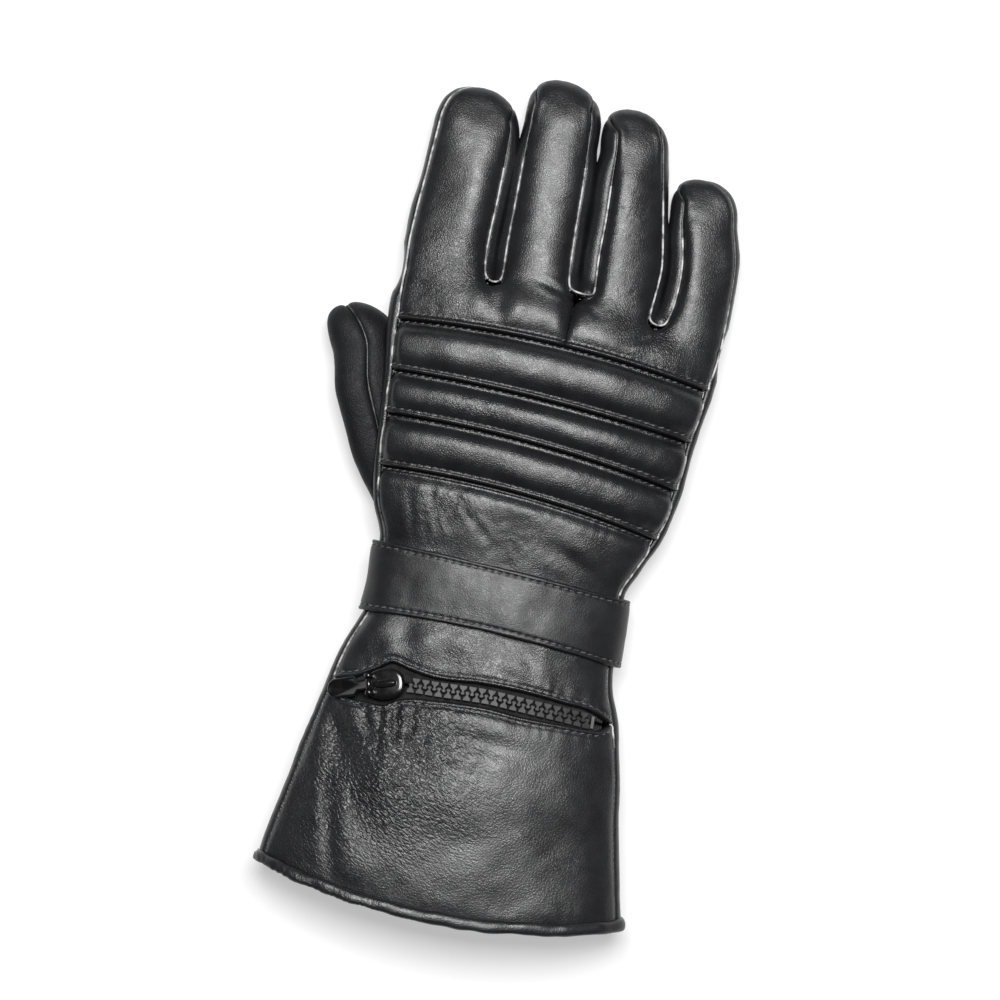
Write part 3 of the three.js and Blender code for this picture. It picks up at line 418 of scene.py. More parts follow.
# Rows of points along one side of a finger: its back, palm, left or right
def fingerGrid(finger, part, along, columns):
    shape = fingerShape(finger, along)
    meet = clamp((shape["past"] - seamsMeet["from"]) / (seamsMeet["at"] - seamsMeet["from"]))
    opened = ease((along - finger["root"]) / settle["seams"])
    fromFork = clamp((along - finger["root"]) / settle["fork"])
    rounded = np.sqrt(1 - (1 - fromFork) ** 2)

    def angles(side):
        inset = finger["seamLeft"] if side == "left" else finger["seamRight"]
        if finger["outer"] == side:
            atRoot = trunk["inset"][-1] if side == "left" else seamRows["sideInset"]
            upper = seamAngle(shape["full"], fingerPower["top"], mix(atRoot, inset, opened))
            return upper, -upper
        upper = seamAngle(shape["full"], fingerPower["top"], inset * rounded)
        lower = seamAngle(shape["full"], fingerPower["top"], lowSeamInset * rounded)
        return mix(upper, seamsMeet["angle"], meet), mix(lower, -seamsMeet["angle"], meet)
    highLeft, lowLeft = angles("left")
    highRight, lowRight = angles("right")
    start, end = {
        "back": (180 - highLeft, highRight),
        "palm": (-lowRight, -180 + lowLeft),
        "right": (highRight, -lowRight),
        "left": (-180 + lowLeft, -180 - highLeft),
    }[part]
    section = {name: shape[name] for name in shape if name not in ("full", "past")}
    side, height = evenColumns(ovalArcs(section, start, end), columns)
    middle, half = shape["middle"][:, None], np.maximum(shape["half"], thinnest)[:, None]
    squared = ease((along - finger["root"]) / settle["square"])[:, None]
    skew = mix(*finger["skew"], clamp((side - middle + half) / (2 * half))) * (1 - squared)
    plan = np.array(finger["origin"]) + finger["ahead"] * (along[:, None] + skew)[..., None]
    plan = plan + finger["across"] * side[..., None]
    return np.concatenate((plan, height[..., None]), axis=2)


def thumbGrid(along, start, end, columns):
    held, past, narrow = capAt(thumb, along)
    left, right, floor, top, shear = (
        readTable(thumb["girth"], "at", name, held) for name in ("left", "right", "floor", "top", "shear")
    )
    edge = mix(thumb["nose"], (top + floor) / 2, narrow)
    crown = mix(thumb["nose"], top, narrow)
    shape = {
        "middle": (left + right) / 2 + thumb["tipShift"] * past ** 2, "half": (right - left) / 2 * narrow,
        "crown": crown, "floor": mix(thumb["nose"], floor, narrow), "sag": fingerPower["sag"] * narrow,
        "highLeft": edge, "lowLeft": edge, "highRight": edge, "lowRight": edge,
        "powerTop": fingerPower["top"], "powerLeft": fingerPower["low"], "powerRight": fingerPower["low"],
    }
    arcs = ovalArcs(shape, np.full(len(along), float(start)), np.full(len(along), float(end)))
    side, height = evenColumns(arcs, columns)
    shift = (shear * narrow)[:, None] * (height - edge[:, None])
    sheared = side - shift / np.maximum(1, crown - edge)[:, None]
    lean = math.radians(thumb["lean"])
    ahead = np.array((math.sin(lean), math.cos(lean)))
    across = np.array((math.cos(lean), -math.sin(lean)))
    plan = np.array(thumb["origin"]) + ahead * along[:, None, None] + across * sheared[..., None]
    return np.concatenate((plan, height[..., None]), axis=2)


# How finely the leather is cut, in millimetres, with closer rows beside a sewn edge
cut = {
    "back": 0.85, "palm": 1.7, "side": 1.3, "fingerColumns": 42, "palmColumns": (26, 20, 20, 26),
    "sideColumns": 14, "thumbRows": 60, "thumbCapRows": 21, "thumbColumns": 34, "capCrowding": 1.9,
    "edgeRows": (0, 0.3, 0.6, 0.95, 1.35, 1.8, 2.35, 3.0),
}
knuckleBlend = 2.5  # how late the hand's rows turn into the fingers' first rows


# Even places from start to end, with the fine rows of a sewn edge at either end
def rowsBetween(start, end, spacing, fineStart=True, fineEnd=True):
    span = end - start
    low = cut["edgeRows"] if fineStart else (0,)
    high = cut["edgeRows"] if fineEnd else (0,)
    inner = span - low[-1] - high[-1]
    count = max(1, round(inner / spacing))
    middle = [start + low[-1] + inner * k / count for k in range(1, count)]
    return np.array([start + step for step in low] + middle + [end - step for step in reversed(high)])


# Places along a finger: even on the shaft, closer together towards the tip
def fingerStops(finger, spacing):
    shaft = rowsBetween(finger["root"], finger["cap"], spacing, fineStart=False, fineEnd=False)
    capLength = finger["reach"] - finger["cap"]
    count = round(capLength * cut["capCrowding"] / spacing)
    cap = [finger["cap"] + capLength * math.sin(math.pi / 2 * k / count) for k in range(1, count + 1)]
    return np.concatenate((shaft, cap))


# The first rows of the fingers joined to one line across the hand, and its places from 0 to 1
def rootLine(part, order, columns):
    runs = [fingerGrid(fingers[k], part, np.array([fingers[k]["root"]]), columns[k])[0] for k in order]
    line = np.concatenate([runs[0]] + [run[1:] for run in runs[1:]])
    stride = np.linalg.norm(np.diff(line, axis=0), axis=1)
    turns = np.concatenate(([0], np.cumsum(stride))) / stride.sum()
    return line, turns


backRoots, backTurns = rootLine("back", (0, 1, 2, 3), [cut["fingerColumns"]] * 4)
palmRoots, palmTurns = rootLine("palm", (3, 2, 1, 0), cut["palmColumns"])
palmTurns = palmTurns + 1  # the palm's arc follows the back's


# Rows over the knuckles, which start on the hand's skin and end on the fingers' first rows
def knuckleGrid(stations, turns, roots):
    hand = skin(stations[:, None], turns[None, :])
    step = clamp((stations - seamRows["ribs"][-1]) / (seamRows["fork"] - seamRows["ribs"][-1]))
    return mix(hand, roots[None], (step ** knuckleBlend)[:, None, None])


# A lip of the zip bends the rows beside it
def lipGrid(lip, start, spacing):
    share = rowsBetween(0, abs(seamRows["zip"] - start), spacing)
    share = share / share[-1]
    flat = skin(np.full(len(backTurns), seamRows["zip"]), backTurns)
    reach = np.clip(flat[:, 0], lips["x"][0], lips["x"][-1])
    lipAt = seamRows["zip"] + readTable(lips, "x", lip, reach) - flat[:, 1]
    stations = mix(start, lipAt[None, :], share[:, None])
    return skin(stations, np.broadcast_to(backTurns, stations.shape))


weldSteps = 200  # corners meet when they round to the same 200th of a millimetre


# A patch joins grids of points that share edges, and knows its rims by name
def makePatch(grids, rims):
    clouds = [grid.reshape(-1, 3) for grid in grids]
    clouds += [np.asarray(rim).reshape(-1, 3) for rim in rims.values()]
    everything = np.concatenate(clouds)
    keys = np.round(everything * weldSteps).astype(np.int64)
    firsts, ids = np.unique(keys, axis=0, return_index=True, return_inverse=True)[1:]
    ids = ids.ravel()
    points = everything[firsts]
    faces = []
    offset = 0
    for grid in grids:
        rows, columns = grid.shape[:2]
        index = ids[offset:offset + rows * columns].reshape(rows, columns)
        quads = np.stack((index[:-1, :-1], index[:-1, 1:], index[1:, 1:], index[1:, :-1]), axis=2)
        faces.append(quads.reshape(-1, 4))
        offset += rows * columns
    rimIds = {}
    for name, rim in rims.items():
        count = np.asarray(rim).reshape(-1, 3).shape[0]
        rimIds[name] = ids[offset:offset + count]
        offset += count
    return {"points": points, "quads": np.concatenate(faces), "rims": rimIds}


# Quads with two corners on one spot become triangles, and slivers go
def cleanFaces(quads):
    faces = []
    for a, b, c, d in quads.tolist():
        loop = [a]
        for corner in (b, c, d):
            if corner != loop[-1]:
                loop.append(corner)
        if loop[-1] == loop[0]:
            loop.pop()
        if len(set(loop)) == len(loop) and len(loop) >= 3:
            faces.append(loop)
    return faces


def vertexNormals(points, quads):
    a, b, c, d = (points[quads[:, k]] for k in range(4))
    faceNormals = np.cross(c - a, d - b)
    normals = np.zeros_like(points)
    for k in range(4):
        np.add.at(normals, quads[:, k], faceNormals)
    return normals / np.maximum(1e-12, np.linalg.norm(normals, axis=1))[:, None]


# How far each point of a patch lies from one of its rims, and where along the rim
def rimDistance(patch, name):
    line = patch["points"][patch["rims"][name]]
    tree = treeOf(line)
    found = [tree.find(point) for point in patch["points"]]
    return np.array([near[2] for near in found]), lengthsAlong(line)[[near[1] for near in found]]


# Evens out the points of a patch where weight is above 0
def relax(points, quads, weight, rounds, pull=0.6):
    sides = np.concatenate([np.stack((quads[:, k], quads[:, (k + 1) % 4]), axis=1) for k in range(4)])
    sides = np.unique(np.sort(sides, axis=1), axis=0)
    sides = sides[sides[:, 0] != sides[:, 1]]
    a, b = sides.T
    ends, others = np.concatenate((a, b)), np.concatenate((b, a))
    count = np.bincount(ends, minlength=len(points))
    for turn in range(rounds):
        total = np.stack([np.bincount(ends, points[others, axis], len(points)) for axis in range(3)], axis=1)
        mean = total / np.maximum(1, count)[:, None]
        points = points + (mean - points) * weight[:, None] * pull
    return points


# Seams. Each table gives the height of the leather at distances from a sewn edge
seamForms = {
    # the folded edge above a rib's channel, with its line of stitches
    "above": ((0, 0.3, 0.6, 0.95, 1.35, 1.8, 2.35, 3.0, 4.2, 6.0, 8.5),
              (-2.8, -0.9, 0.15, 0.45, 0.3, -0.35, -0.85, -0.8, -0.5, -0.15, 0)),
    # the ledge below it, sunk into the channel
    "below": ((0, 0.3, 0.6, 0.95, 1.35, 1.8, 2.35, 3.4, 5.0, 7.0),
              (-2.8, -2.3, -1.7, -1.5, -1.75, -1.95, -1.75, -1.0, -0.25, 0)),
    # a side or finger seam, whose edges are rolled in
    "side": ((0, 0.4, 0.9, 1.6, 2.6, 4.0), (-1.1, -0.95, -0.6, -0.25, -0.07, 0)),
    # the lip of the zip, turned under and stitched
    "lip": ((0, 0.3, 0.6, 1.0, 1.5, 2.2, 2.8, 3.6), (-1.3, -0.35, 0.1, 0.2, 0, -0.45, -0.25, 0)),
    # where the cuff meets its hem roll
    "hem": ((0, 0.5, 1.2, 2.4, 4.5), (-0.4, -0.22, -0.12, -0.04, 0)),
}
stitching = {
    "pitch": 3.1, "length": 2.1, "radius": 0.27, "unevenness": 0.12, "hole": 0.32, "holeReach": 0.5,
    "ribLift": 0.2, "ledgeLift": 0.05, "flatLift": 0.1, "ribSlant": 0.3, "flatSlant": 0.1,
}
puckers = {
    "from": 3.2, "reach": 3.6, "end": 12, "wave": 6.2, "depth": 0.07, "sideShare": 0.55,
    "drifts": ((1.7, 7.3), (1.1, 2.9)),  # these keep the puckers uneven
}
ribSwell = {"height": 3.0, "power": 2.3, "fade": 5.0}
lumps = {"wide": 26.0, "wideDepth": 0.18, "wideSeed": 3, "small": 9.5, "smallDepth": 0.03, "smallSeed": 5}
relief = {"sideStart": 0.05, "sideOver": 0.35, "seamReach": 5.0, "atSeam": 0.25}

# Folds and dents of the back, each a long soft trough with a low ridge beside it
folds = tableOf(("x", "y", "heading", "length", "width", "depth"), [
    # the fork between index and middle, and the creases over the knuckles
    (-13, 75, 92, 7, 4.0, 1.3),
    (10, 83.5, -18, 8, 1.3, 0.5),
    (20, 80, -34, 6, 1.2, 0.35),
    (44, 70, 20, 7, 1.6, 0.5),
    (-30, 70, 8, 12, 3.2, 0.4),
    # long diagonal creases on the wrist
    (-27, -3, -68, 12, 1.5, 0.22),
    (-22, -8, -60, 9, 1.3, 0.18),
    (-15, -4, -52, 11, 1.4, 0.16),
    (-34, -10, -76, 10, 1.5, 0.22),
    (-6, -13, -45, 9, 1.4, 0.14),
    (30, -19, -24, 12, 3.0, 0.5),
    # dents between the strap and the zip
    (-29, -57, 70, 6.5, 4.5, 0.9),
    (-13, -60, 100, 6, 4.0, 0.5),
    (-38, -62, 60, 7, 3.5, 0.6),
    (21, -60, -56, 7.5, 2.8, 0.3),
    (29, -59, -50, 6.5, 2.6, 0.15),
    (16, -68, -12, 10, 2.6, 0.4),
    (34, -68, -38, 7, 2.2, 0.2),
    # the cuff: a fold under the slider, gathers and the broad hollow beside it
    (-38, -92, -62, 11, 2.4, 1.0),
    (-33, -91, -80, 8, 1.6, 0.8),
    (-27, -90, 96, 9, 1.7, 0.7),
    (-21, -89, 88, 7, 1.6, 0.45),
    (-50, -97, -70, 16, 3.6, 1.1),
    (-44, -106, -58, 17, 6.5, 1.5),
    (4, -94, -4, 17, 3.6, 0.65),
    (-38, -126, -50, 15, 6.0, 0.8),
    (-47.4, -128.5, -79, 22, 3.0, 0.75),
])
# Broad swells and hollows that bring the back nearer to a filled hand
mounds = tableOf(("x", "y", "heading", "length", "width", "height"), [
    (8, 75, -6, 48, 8, 1.5),
    (-27, 108, 86, 32, 9, 1.3),
    (-43, 112, 86, 32, 8, -0.9),
    (27, 110, 95, 30, 8, 1.2),
    (41, 114, 95, 30, 7, -0.8),
    (58, 96, 94, 26, 7, 1.2),
    (71, 98, 94, 26, 7, -1.0),
    (-8, -110, 0, 46, 22, 2.1),
    (-30, -110, -72, 17, 8, 0.8),
    (-12, -167, -4, 64, 15, -1.4),
    (-38, -160, -20, 30, 24, -1.0),
    (-64, -140, 70, 40, 14, -1.2),
    (-36, -60, 0, 10, 7, 1.2),
    (-11, -57, 0, 8, 6, 0.8),
    (24, -51, 0, 12, 7, 0.6),
    (-6, -27, -8, 46, 8, -0.9),
    (-32, 156, 0, 16, 15, -3.0),
    (0, 163, 0, 16, 15, -3.0),
    (30, 156, 0, 16, 15, -3.0),
    (58, 134, 0, 14, 14, -2.6),
])
crinkles = tableOf(("x", "y", "reach", "heading", "wave", "depth"), [
    (-24, -98, 19, -52, 2.6, 0.13),
    (-38, -112, 20, -50, 2.9, 0.12),
    (-18, -88, 12, 74, 2.4, 0.12),
    (-50, -132, 20, -40, 2.8, 0.08),
    (-6, -104, 20, -28, 2.6, 0.07),
    (-16, -6, 15, -55, 3.0, 0.15),
    (6, -14, 18, -48, 2.4, 0.05),
    (-16, 32, 15, -52, 2.5, 0.07),
    (8, 50, 18, -60, 2.5, 0.04),
    (30, 12, 16, -55, 2.5, 0.05),
    (-8, -38, 15, -30, 2.6, 0.05),
    (33, 118, 9, 0, 2.2, 0.06),
    (28, 88, 11, -35, 2.4, 0.08),
    (52, 73, 10, -40, 2.4, 0.1),
    (16, 75, 10, -45, 2.4, 0.07),
    (-40, 78, 12, -60, 2.6, 0.07),
])


# How far points lie along a heading and beside it, seen from above
def seenFrom(points, x, y, heading):
    angle = math.radians(heading)
    dx, dy = points[:, 0] - x, points[:, 1] - y
    along = dx * math.cos(angle) + dy * math.sin(angle)
    beside = -dx * math.sin(angle) + dy * math.cos(angle)
    return along, beside


# 1 at a spot, fading to nothing round it
def spotAt(points, x, y, reach):
    return np.exp(-((points[:, 0] - x) ** 2 + (points[:, 1] - y) ** 2) / reach ** 2)


def moundHeights(points, upward, table):
    height = np.zeros(len(points))
    for x, y, heading, length, width, rise in zip(*table.values()):
        along, beside = seenFrom(points, x, y, heading)
        height += rise * np.exp(-(beside / width) ** 2 - (along / length) ** 2) * upward ** 2
    return height


creasing = {"ridge": 0.45, "ridgeAt": 2.0, "seed": 40, "fan": 24, "middle": 0.6, "gain": 1.6}


def foldHeights(points):
    height = np.zeros(len(points))
    for x, y, heading, length, width, depth in zip(*folds.values()):
        along, beside = seenFrom(points, x, y, heading)
        ridge = np.exp(-((np.abs(beside) - creasing["ridgeAt"] * width) / width) ** 2)
        trough = np.exp(-(beside / width) ** 2) - creasing["ridge"] * ridge
        height -= depth * trough * np.exp(-(along / length) ** 2)
    for k, (x, y, reach, heading, wave, depth) in enumerate(zip(*crinkles.values())):
        lines = ripple(points, wave, creasing["seed"] + k, heading=heading, fan=creasing["fan"])
        near = spotAt(points, x, y, reach)
        height += depth * near * (creasing["middle"] - np.abs(lines)) * creasing["gain"]
    return height


# Points at even steps along a line of points, the last one a little before its end
def evenSteps(line, step, start=0.0, spare=0.3):
    along = lengthsAlong(line)
    places = np.arange(start, along[-1] - step * spare, step)
    return np.stack([np.interp(places, along, line[:, axis]) for axis in range(3)], axis=1)


# The small dents that the stitches of some seam lines pull into the leather
def stitchDents(patch, names):
    points = patch["points"]
    holes = np.concatenate([evenSteps(points[patch["rims"][name]], stitching["pitch"]) for name in names])
    tree = treeOf(holes)
    gap = np.array([tree.find(point)[2] for point in points])
    return stitching["hole"] * np.exp(-(gap / stitching["holeReach"]) ** 2)


# All that lifts or sinks the leather of a panel: swells, folds, mounds, seams and stitches
def patchRelief(patch, normals):
    points = patch["points"]
    onBack = ease((normals[:, 2] + relief["sideStart"]) / relief["sideOver"])
    height = ripple(points, lumps["wide"], lumps["wideSeed"]) * lumps["wideDepth"]
    height += ripple(points, lumps["small"], lumps["smallSeed"]) * lumps["smallDepth"]
    height += foldHeights(points) * onBack
    mound = moundHeights(points, clamp(normals[:, 2]), mounds)
    calm, settled = np.ones(len(points)), np.ones(len(points))
    sewn = np.zeros(len(points))
    for name, form in patch["forms"].items():
        distance, place = rimDistance(patch, name)
        places, heights = seamForms[form]
        calm *= ease(distance / relief["seamReach"])
        if form != "hem":
            settled *= ease(distance / relief["seamReach"])
        drift = sum(amount * np.sin(place / length) for amount, length in puckers["drifts"])
        wave = np.sin(place * 2 * math.pi / puckers["wave"] + drift)
        amount = puckers["depth"] * (1.0 if form in ("above", "below", "lip") else puckers["sideShare"])
        near = np.exp(-((distance - puckers["from"]) / puckers["reach"]) ** 2) * (distance < puckers["end"])
        sewn += np.interp(distance, places, heights)
        sewn += amount * wave * near
    if "swell" in patch:
        sewn += patch["swell"]
    if "stitches" in patch["rims"]:
        sewn -= stitchDents(patch, ["stitches"])
    rest = relief["atSeam"]
    return height * (rest + (1 - rest) * calm) + mound * (rest + (1 - rest) * settled) + sewn


# Where the hide is creased and its pebble stands out: spots with a reach and an amount
wornSpots = tableOf(("x", "y", "reach", "amount"), [
    (-36, -104, 24, 0.6),
    (-16, -94, 16, 0.5),
    (-50, -132, 22, 0.3),
    (-14, -120, 26, 0.4),
    (-28, -6, 18, 0.2),
    (-12, 31, 16, 0.3),
    (30, 10, 18, 0.15),
    (-34, 86, 16, 0.35),
    (-6, -60, 26, 0.3),
    (50, 66, 14, 0.4),
])
wornFrom = {"height": 10, "over": 12}  # the palm side stays smooth


def wornAt(points):
    amount = np.zeros(len(points))
    for x, y, reach, most in zip(*wornSpots.values()):
        amount += most * spotAt(points, x, y, reach)
    return clamp(amount * ease((points[:, 2] - wornFrom["height"]) / wornFrom["over"]))


# A piece of the glove: a plain mesh that rides on a body and stands in for its solids
def dressed(name, points, faces, material, nodes=(), body="glove"):
    mesh = bpy.data.meshes.new(name)
    mesh.from_pydata([tuple(point) for point in np.asarray(points) * mm], [], faces)
    mesh.validate()
    mesh.shade_smooth()
    mesh.materials.append(material)
    if material in hides:
        worn = mesh.attributes.new("worn", "FLOAT", "POINT")
        worn.data.foreach_set("value", wornAt(np.asarray(points)))
    return dressMesh(name, mesh, nodes, body)


def dressMesh(name, mesh, nodes=(), body="glove"):
    piece = bpy.data.objects.new(name, mesh)
    bpy.context.scene.collection.objects.link(piece)
    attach(piece, body)
    if nodes:
        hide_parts(*nodes)
    return piece


floorClearance = 0.02
thinFrom = 1.0  # a dent deeper than this takes the inner face with it


# Keeps a lifted face from sinking under the floor
def aboveFloor(lifted, points):
    lifted[:, 2] = np.maximum(lifted[:, 2], np.minimum(points[:, 2], floorClearance))
    return lifted


# Turns a patch into a closed wall: the shaped face outside, its back offset inwards, and a rim between
def wallFaces(patch, thickness, height):
    points, quads = patch["points"], patch["quads"]
    normals = vertexNormals(points, quads)
    outer = aboveFloor(points + normals * height[:, None], points)
    inner = points - normals * (thickness - np.minimum(0, height + thinFrom))[:, None]
    faces = cleanFaces(quads)
    edges = set()
    for face in faces:
        edges.update(zip(face, face[1:] + face[:1]))
    count = len(points)
    allFaces = faces + [[corner + count for corner in reversed(face)] for face in faces]
    allFaces += [[b, a, a + count, b + count] for a, b in sorted(edges) if (b, a) not in edges]
    patch["outer"] = outer
    patch["normals"] = vertexNormals(outer, quads)
    return np.concatenate((outer, inner)), allFaces


# Adds a node to a tree: its settings, its inputs (linked if they are sockets) and the output it gives
def addNode(tree, kind, inputs=None, out=0, **settings):
    node = tree.nodes.new(kind)
    for name, value in settings.items():
        setattr(node, name, value)
    for name, value in (inputs or {}).items():
        if isinstance(value, bpy.types.NodeSocket):
            tree.links.new(value, node.inputs[name])
        else:
            node.inputs[name].default_value = value
    return node.outputs[out]


# Geometry node trees: each grows something along a line of points
def newTree(name, **sockets):
    tree = bpy.data.node_groups.new(name, "GeometryNodeTree")
    for label, kind in {"Line": "Geometry", **sockets, "Material": "Material"}.items():
        tree.interface.new_socket(label, in_out="INPUT", socket_type="NodeSocket" + kind)
    tree.interface.new_socket("Result", in_out="OUTPUT", socket_type="NodeSocketGeometry")
    return tree, tree.nodes.new("NodeGroupInput").outputs


def finishTree(tree, given, grown, smooth):
    grown = addNode(tree, "GeometryNodeRealizeInstances", {"Geometry": grown})
    if smooth:
        grown = addNode(tree, "GeometryNodeSetShadeSmooth", {"Geometry": grown})
    painted = addNode(tree, "GeometryNodeSetMaterial", {"Geometry": grown, "Material": given["Material"]})
    tree.links.new(painted, tree.nodes.new("NodeGroupOutput").inputs["Result"])
    return tree


# The turn that lays a part's x along the line
def alongLine(tree):
    tangent = addNode(tree, "GeometryNodeInputTangent")
    return addNode(tree, "FunctionNodeAlignRotationToVector", {"Vector": tangent}, axis="X")


# One slim stitch at each point of the line, lying along it with a slant of its own
def stitchTree():
    tree, given = newTree("stitch line", Length="Float", Radius="Float", Slant="Float", Unevenness="Float")
    curve = addNode(tree, "GeometryNodeMeshToCurve", {"Mesh": given["Line"]})
    ball = addNode(tree, "GeometryNodeMeshUVSphere", {"Segments": 8, "Rings": 6, "Radius": 1.0})
    halfLength = addNode(tree, "ShaderNodeMath", {0: given["Length"], 1: 0.5}, operation="MULTIPLY")
    radius = given["Radius"]
    size = addNode(tree, "ShaderNodeCombineXYZ", {"X": halfLength, "Y": radius, "Z": radius})
    stitch = addNode(tree, "GeometryNodeTransform", {"Geometry": ball, "Scale": size})
    bounds = [
        addNode(tree, "ShaderNodeMath", {0: given["Slant"], 1: given["Unevenness"]}, operation=operation)
        for operation in ("SUBTRACT", "ADD")
    ]
    spread = {"Min": bounds[0], "Max": bounds[1], "Seed": 7}
    wobble = addNode(tree, "FunctionNodeRandomValue", spread, "Value")
    angles = addNode(tree, "ShaderNodeCombineXYZ", {"Z": wobble})
    euler = addNode(tree, "FunctionNodeEulerToRotation", {"Euler": angles})
    turn = addNode(tree, "FunctionNodeRotateRotation", {"Rotation": alongLine(tree), "Rotate By": euler},
                   rotation_space="LOCAL")
    row = addNode(tree, "GeometryNodeInstanceOnPoints",
                  {"Points": curve, "Instance": stitch, "Rotation": turn})
    return finishTree(tree, given, row, smooth=True)


# A thin cord along a line, of uneven thickness
def beadTree():
    tree, given = newTree("seam bead", Radius="Float", Spacing="Float", Unevenness="Float")
    curve = addNode(tree, "GeometryNodeMeshToCurve", {"Mesh": given["Line"]})
    even = addNode(tree, "GeometryNodeResampleCurve",
                   {"Curve": curve, "Length": given["Spacing"]}, mode="LENGTH")
    noise = addNode(tree, "ShaderNodeTexNoise", {"Scale": 420, "Detail": 2}, "Fac")
    spread = addNode(tree, "ShaderNodeMath",
                     {0: noise, 1: given["Unevenness"], 2: 0.5}, operation="MULTIPLY_ADD")
    cord = addNode(tree, "GeometryNodeSetCurveRadius", {"Curve": even, "Radius": spread})
    ring = addNode(tree, "GeometryNodeCurvePrimitiveCircle", {"Resolution": 8, "Radius": given["Radius"]})
    skinned = addNode(tree, "GeometryNodeCurveToMesh",
                      {"Curve": cord, "Profile Curve": ring, "Fill Caps": True})
    return finishTree(tree, given, skinned, smooth=True)


# Copies of one part set along a line, each turned to the line's heading
def chainTree():
    tree, given = newTree("row of parts", Part="Object")
    curve = addNode(tree, "GeometryNodeMeshToCurve", {"Mesh": given["Line"]})
    part = addNode(tree, "GeometryNodeObjectInfo", {"Object": given["Part"]}, "Geometry")
    row = addNode(tree, "GeometryNodeInstanceOnPoints",
                  {"Points": curve, "Instance": part, "Rotation": alongLine(tree)})
    return finishTree(tree, given, row, smooth=False)


trees = {"stitches": stitchTree(), "bead": beadTree(), "row": chainTree()}


# The mesh that a tree grows on some lines of points
def grow(name, tree, lines, values):
    base = bpy.data.meshes.new(name + " lines")
    points, edges = [], []
    for line in lines:
        edges += [(len(points) + k, len(points) + k + 1) for k in range(len(line) - 1)]
        points += [tuple(point) for point in np.asarray(line) * mm]
    base.from_pydata(points, edges, [])
    carrier = bpy.data.objects.new(name + " lines", base)
    bpy.context.scene.collection.objects.link(carrier)
    modifier = carrier.modifiers.new("grow", "NODES")
    modifier.node_group = tree
    for item in tree.interface.items_tree:
        if item.in_out == "INPUT" and item.name in values:
            modifier[item.identifier] = values[item.name]
    depsgraph = bpy.context.evaluated_depsgraph_get()
    mesh = bpy.data.meshes.new_from_object(carrier.evaluated_get(depsgraph), depsgraph=depsgraph)
    mesh.name = name
    bpy.data.objects.remove(carrier)
    return mesh


# A new material with its shader's values set, and the coordinates that its patterns follow
def newMaterial(name, values):
    material = bpy.data.materials.new(name)
    material.use_nodes = True
    tree = material.node_tree
    shader = tree.nodes["Principled BSDF"]
    for label, value in values.items():
        shader.inputs[label].default_value = value
    return material, tree, shader.inputs, addNode(tree, "ShaderNodeTexCoord", out="Object")


def noiseAt(tree, place, scale, detail=2.0):
    return addNode(tree, "ShaderNodeTexNoise", {"Vector": place, "Scale": scale, "Detail": detail}, "Fac")


# Cells that are 0 at their edges and rise softly to 1 inside
def softCells(tree, place, scale, edge):
    gap = addNode(tree, "ShaderNodeTexVoronoi", {"Vector": place, "Scale": scale}, "Distance",
                  feature="DISTANCE_TO_EDGE")
    return addNode(tree, "ShaderNodeMapRange",
                   {"Value": gap, "From Max": edge}, interpolation_type="SMOOTHSTEP")


# Leather: black hide with a fine pebble, closed pores and a soft sheen
def leatherMaterial(name, look):
    material, tree, surface, place = newMaterial(name, {
        "Specular IOR Level": look["gloss"], "Coat Weight": look["coat"],
        "Coat Roughness": look["coatRoughness"]})

    def patchy(scale, detail, low, high):
        noise = noiseAt(tree, place, scale, detail)
        ends = {"From Min": 0.3, "From Max": 0.7, "To Min": low, "To Max": high}
        return addNode(tree, "ShaderNodeMapRange", {"Value": noise, **ends})

    share = patchy(look["tintScale"], 4, 0, 1)
    colours = {"A": (*look["dark"], 1), "B": (*look["light"], 1), "Factor": share}
    tint = addNode(tree, "ShaderNodeMix", colours, "Result", data_type="RGBA")
    smoother, rougher = look["sheenRange"]
    sheen = patchy(look["sheenScale"], 3, look["roughness"] - smoother, look["roughness"] + rougher)
    tree.links.new(tint, surface["Base Color"])
    tree.links.new(sheen, surface["Roughness"])

    # the pebble: rounded cells between fine pores, broken up by a noise
    warp = addNode(tree, "ShaderNodeTexNoise", {"Vector": place, "Scale": look["warpScale"]}, "Color")
    shifted = addNode(tree, "ShaderNodeMix", {"Factor": look["warp"], "A": place, "B": warp}, "Result",
                      data_type="VECTOR")
    pebble = softCells(tree, shifted, look["pebble"], look["poreWidth"])
    fine = noiseAt(tree, place, look["pebble"] * look["fineRatio"], 5)

    # the creases: cells drawn out along one heading, deep where the worn attribute is high
    heading = (0, 0, math.radians(look["creaseHeading"]))
    drawn = addNode(tree, "ShaderNodeMapping",
                    {"Vector": shifted, "Rotation": heading, "Scale": look["creaseSize"]},
                    vector_type="TEXTURE")
    crease = softCells(tree, drawn, 1.0, look["creaseWidth"])
    worn = addNode(tree, "ShaderNodeAttribute", out="Fac", attribute_name="worn")
    normal = None
    for height, base, gain, depth in (
        (pebble, look["pebbleBump"], look["wornPebble"], look["pebbleDepth"]),
        (fine, look["fineBump"], 0, look["fineDepth"]),
        (crease, 0, look["creaseBump"], look["creaseDepth"]),
    ):
        strength = addNode(tree, "ShaderNodeMath", {0: worn, 1: gain, 2: base}, operation="MULTIPLY_ADD")
        bump = {"Strength": strength, "Distance": depth, "Height": height}
        if normal is not None:
            bump["Normal"] = normal
        normal = addNode(tree, "ShaderNodeBump", bump)
    tree.links.new(normal, surface["Normal"])
    return material


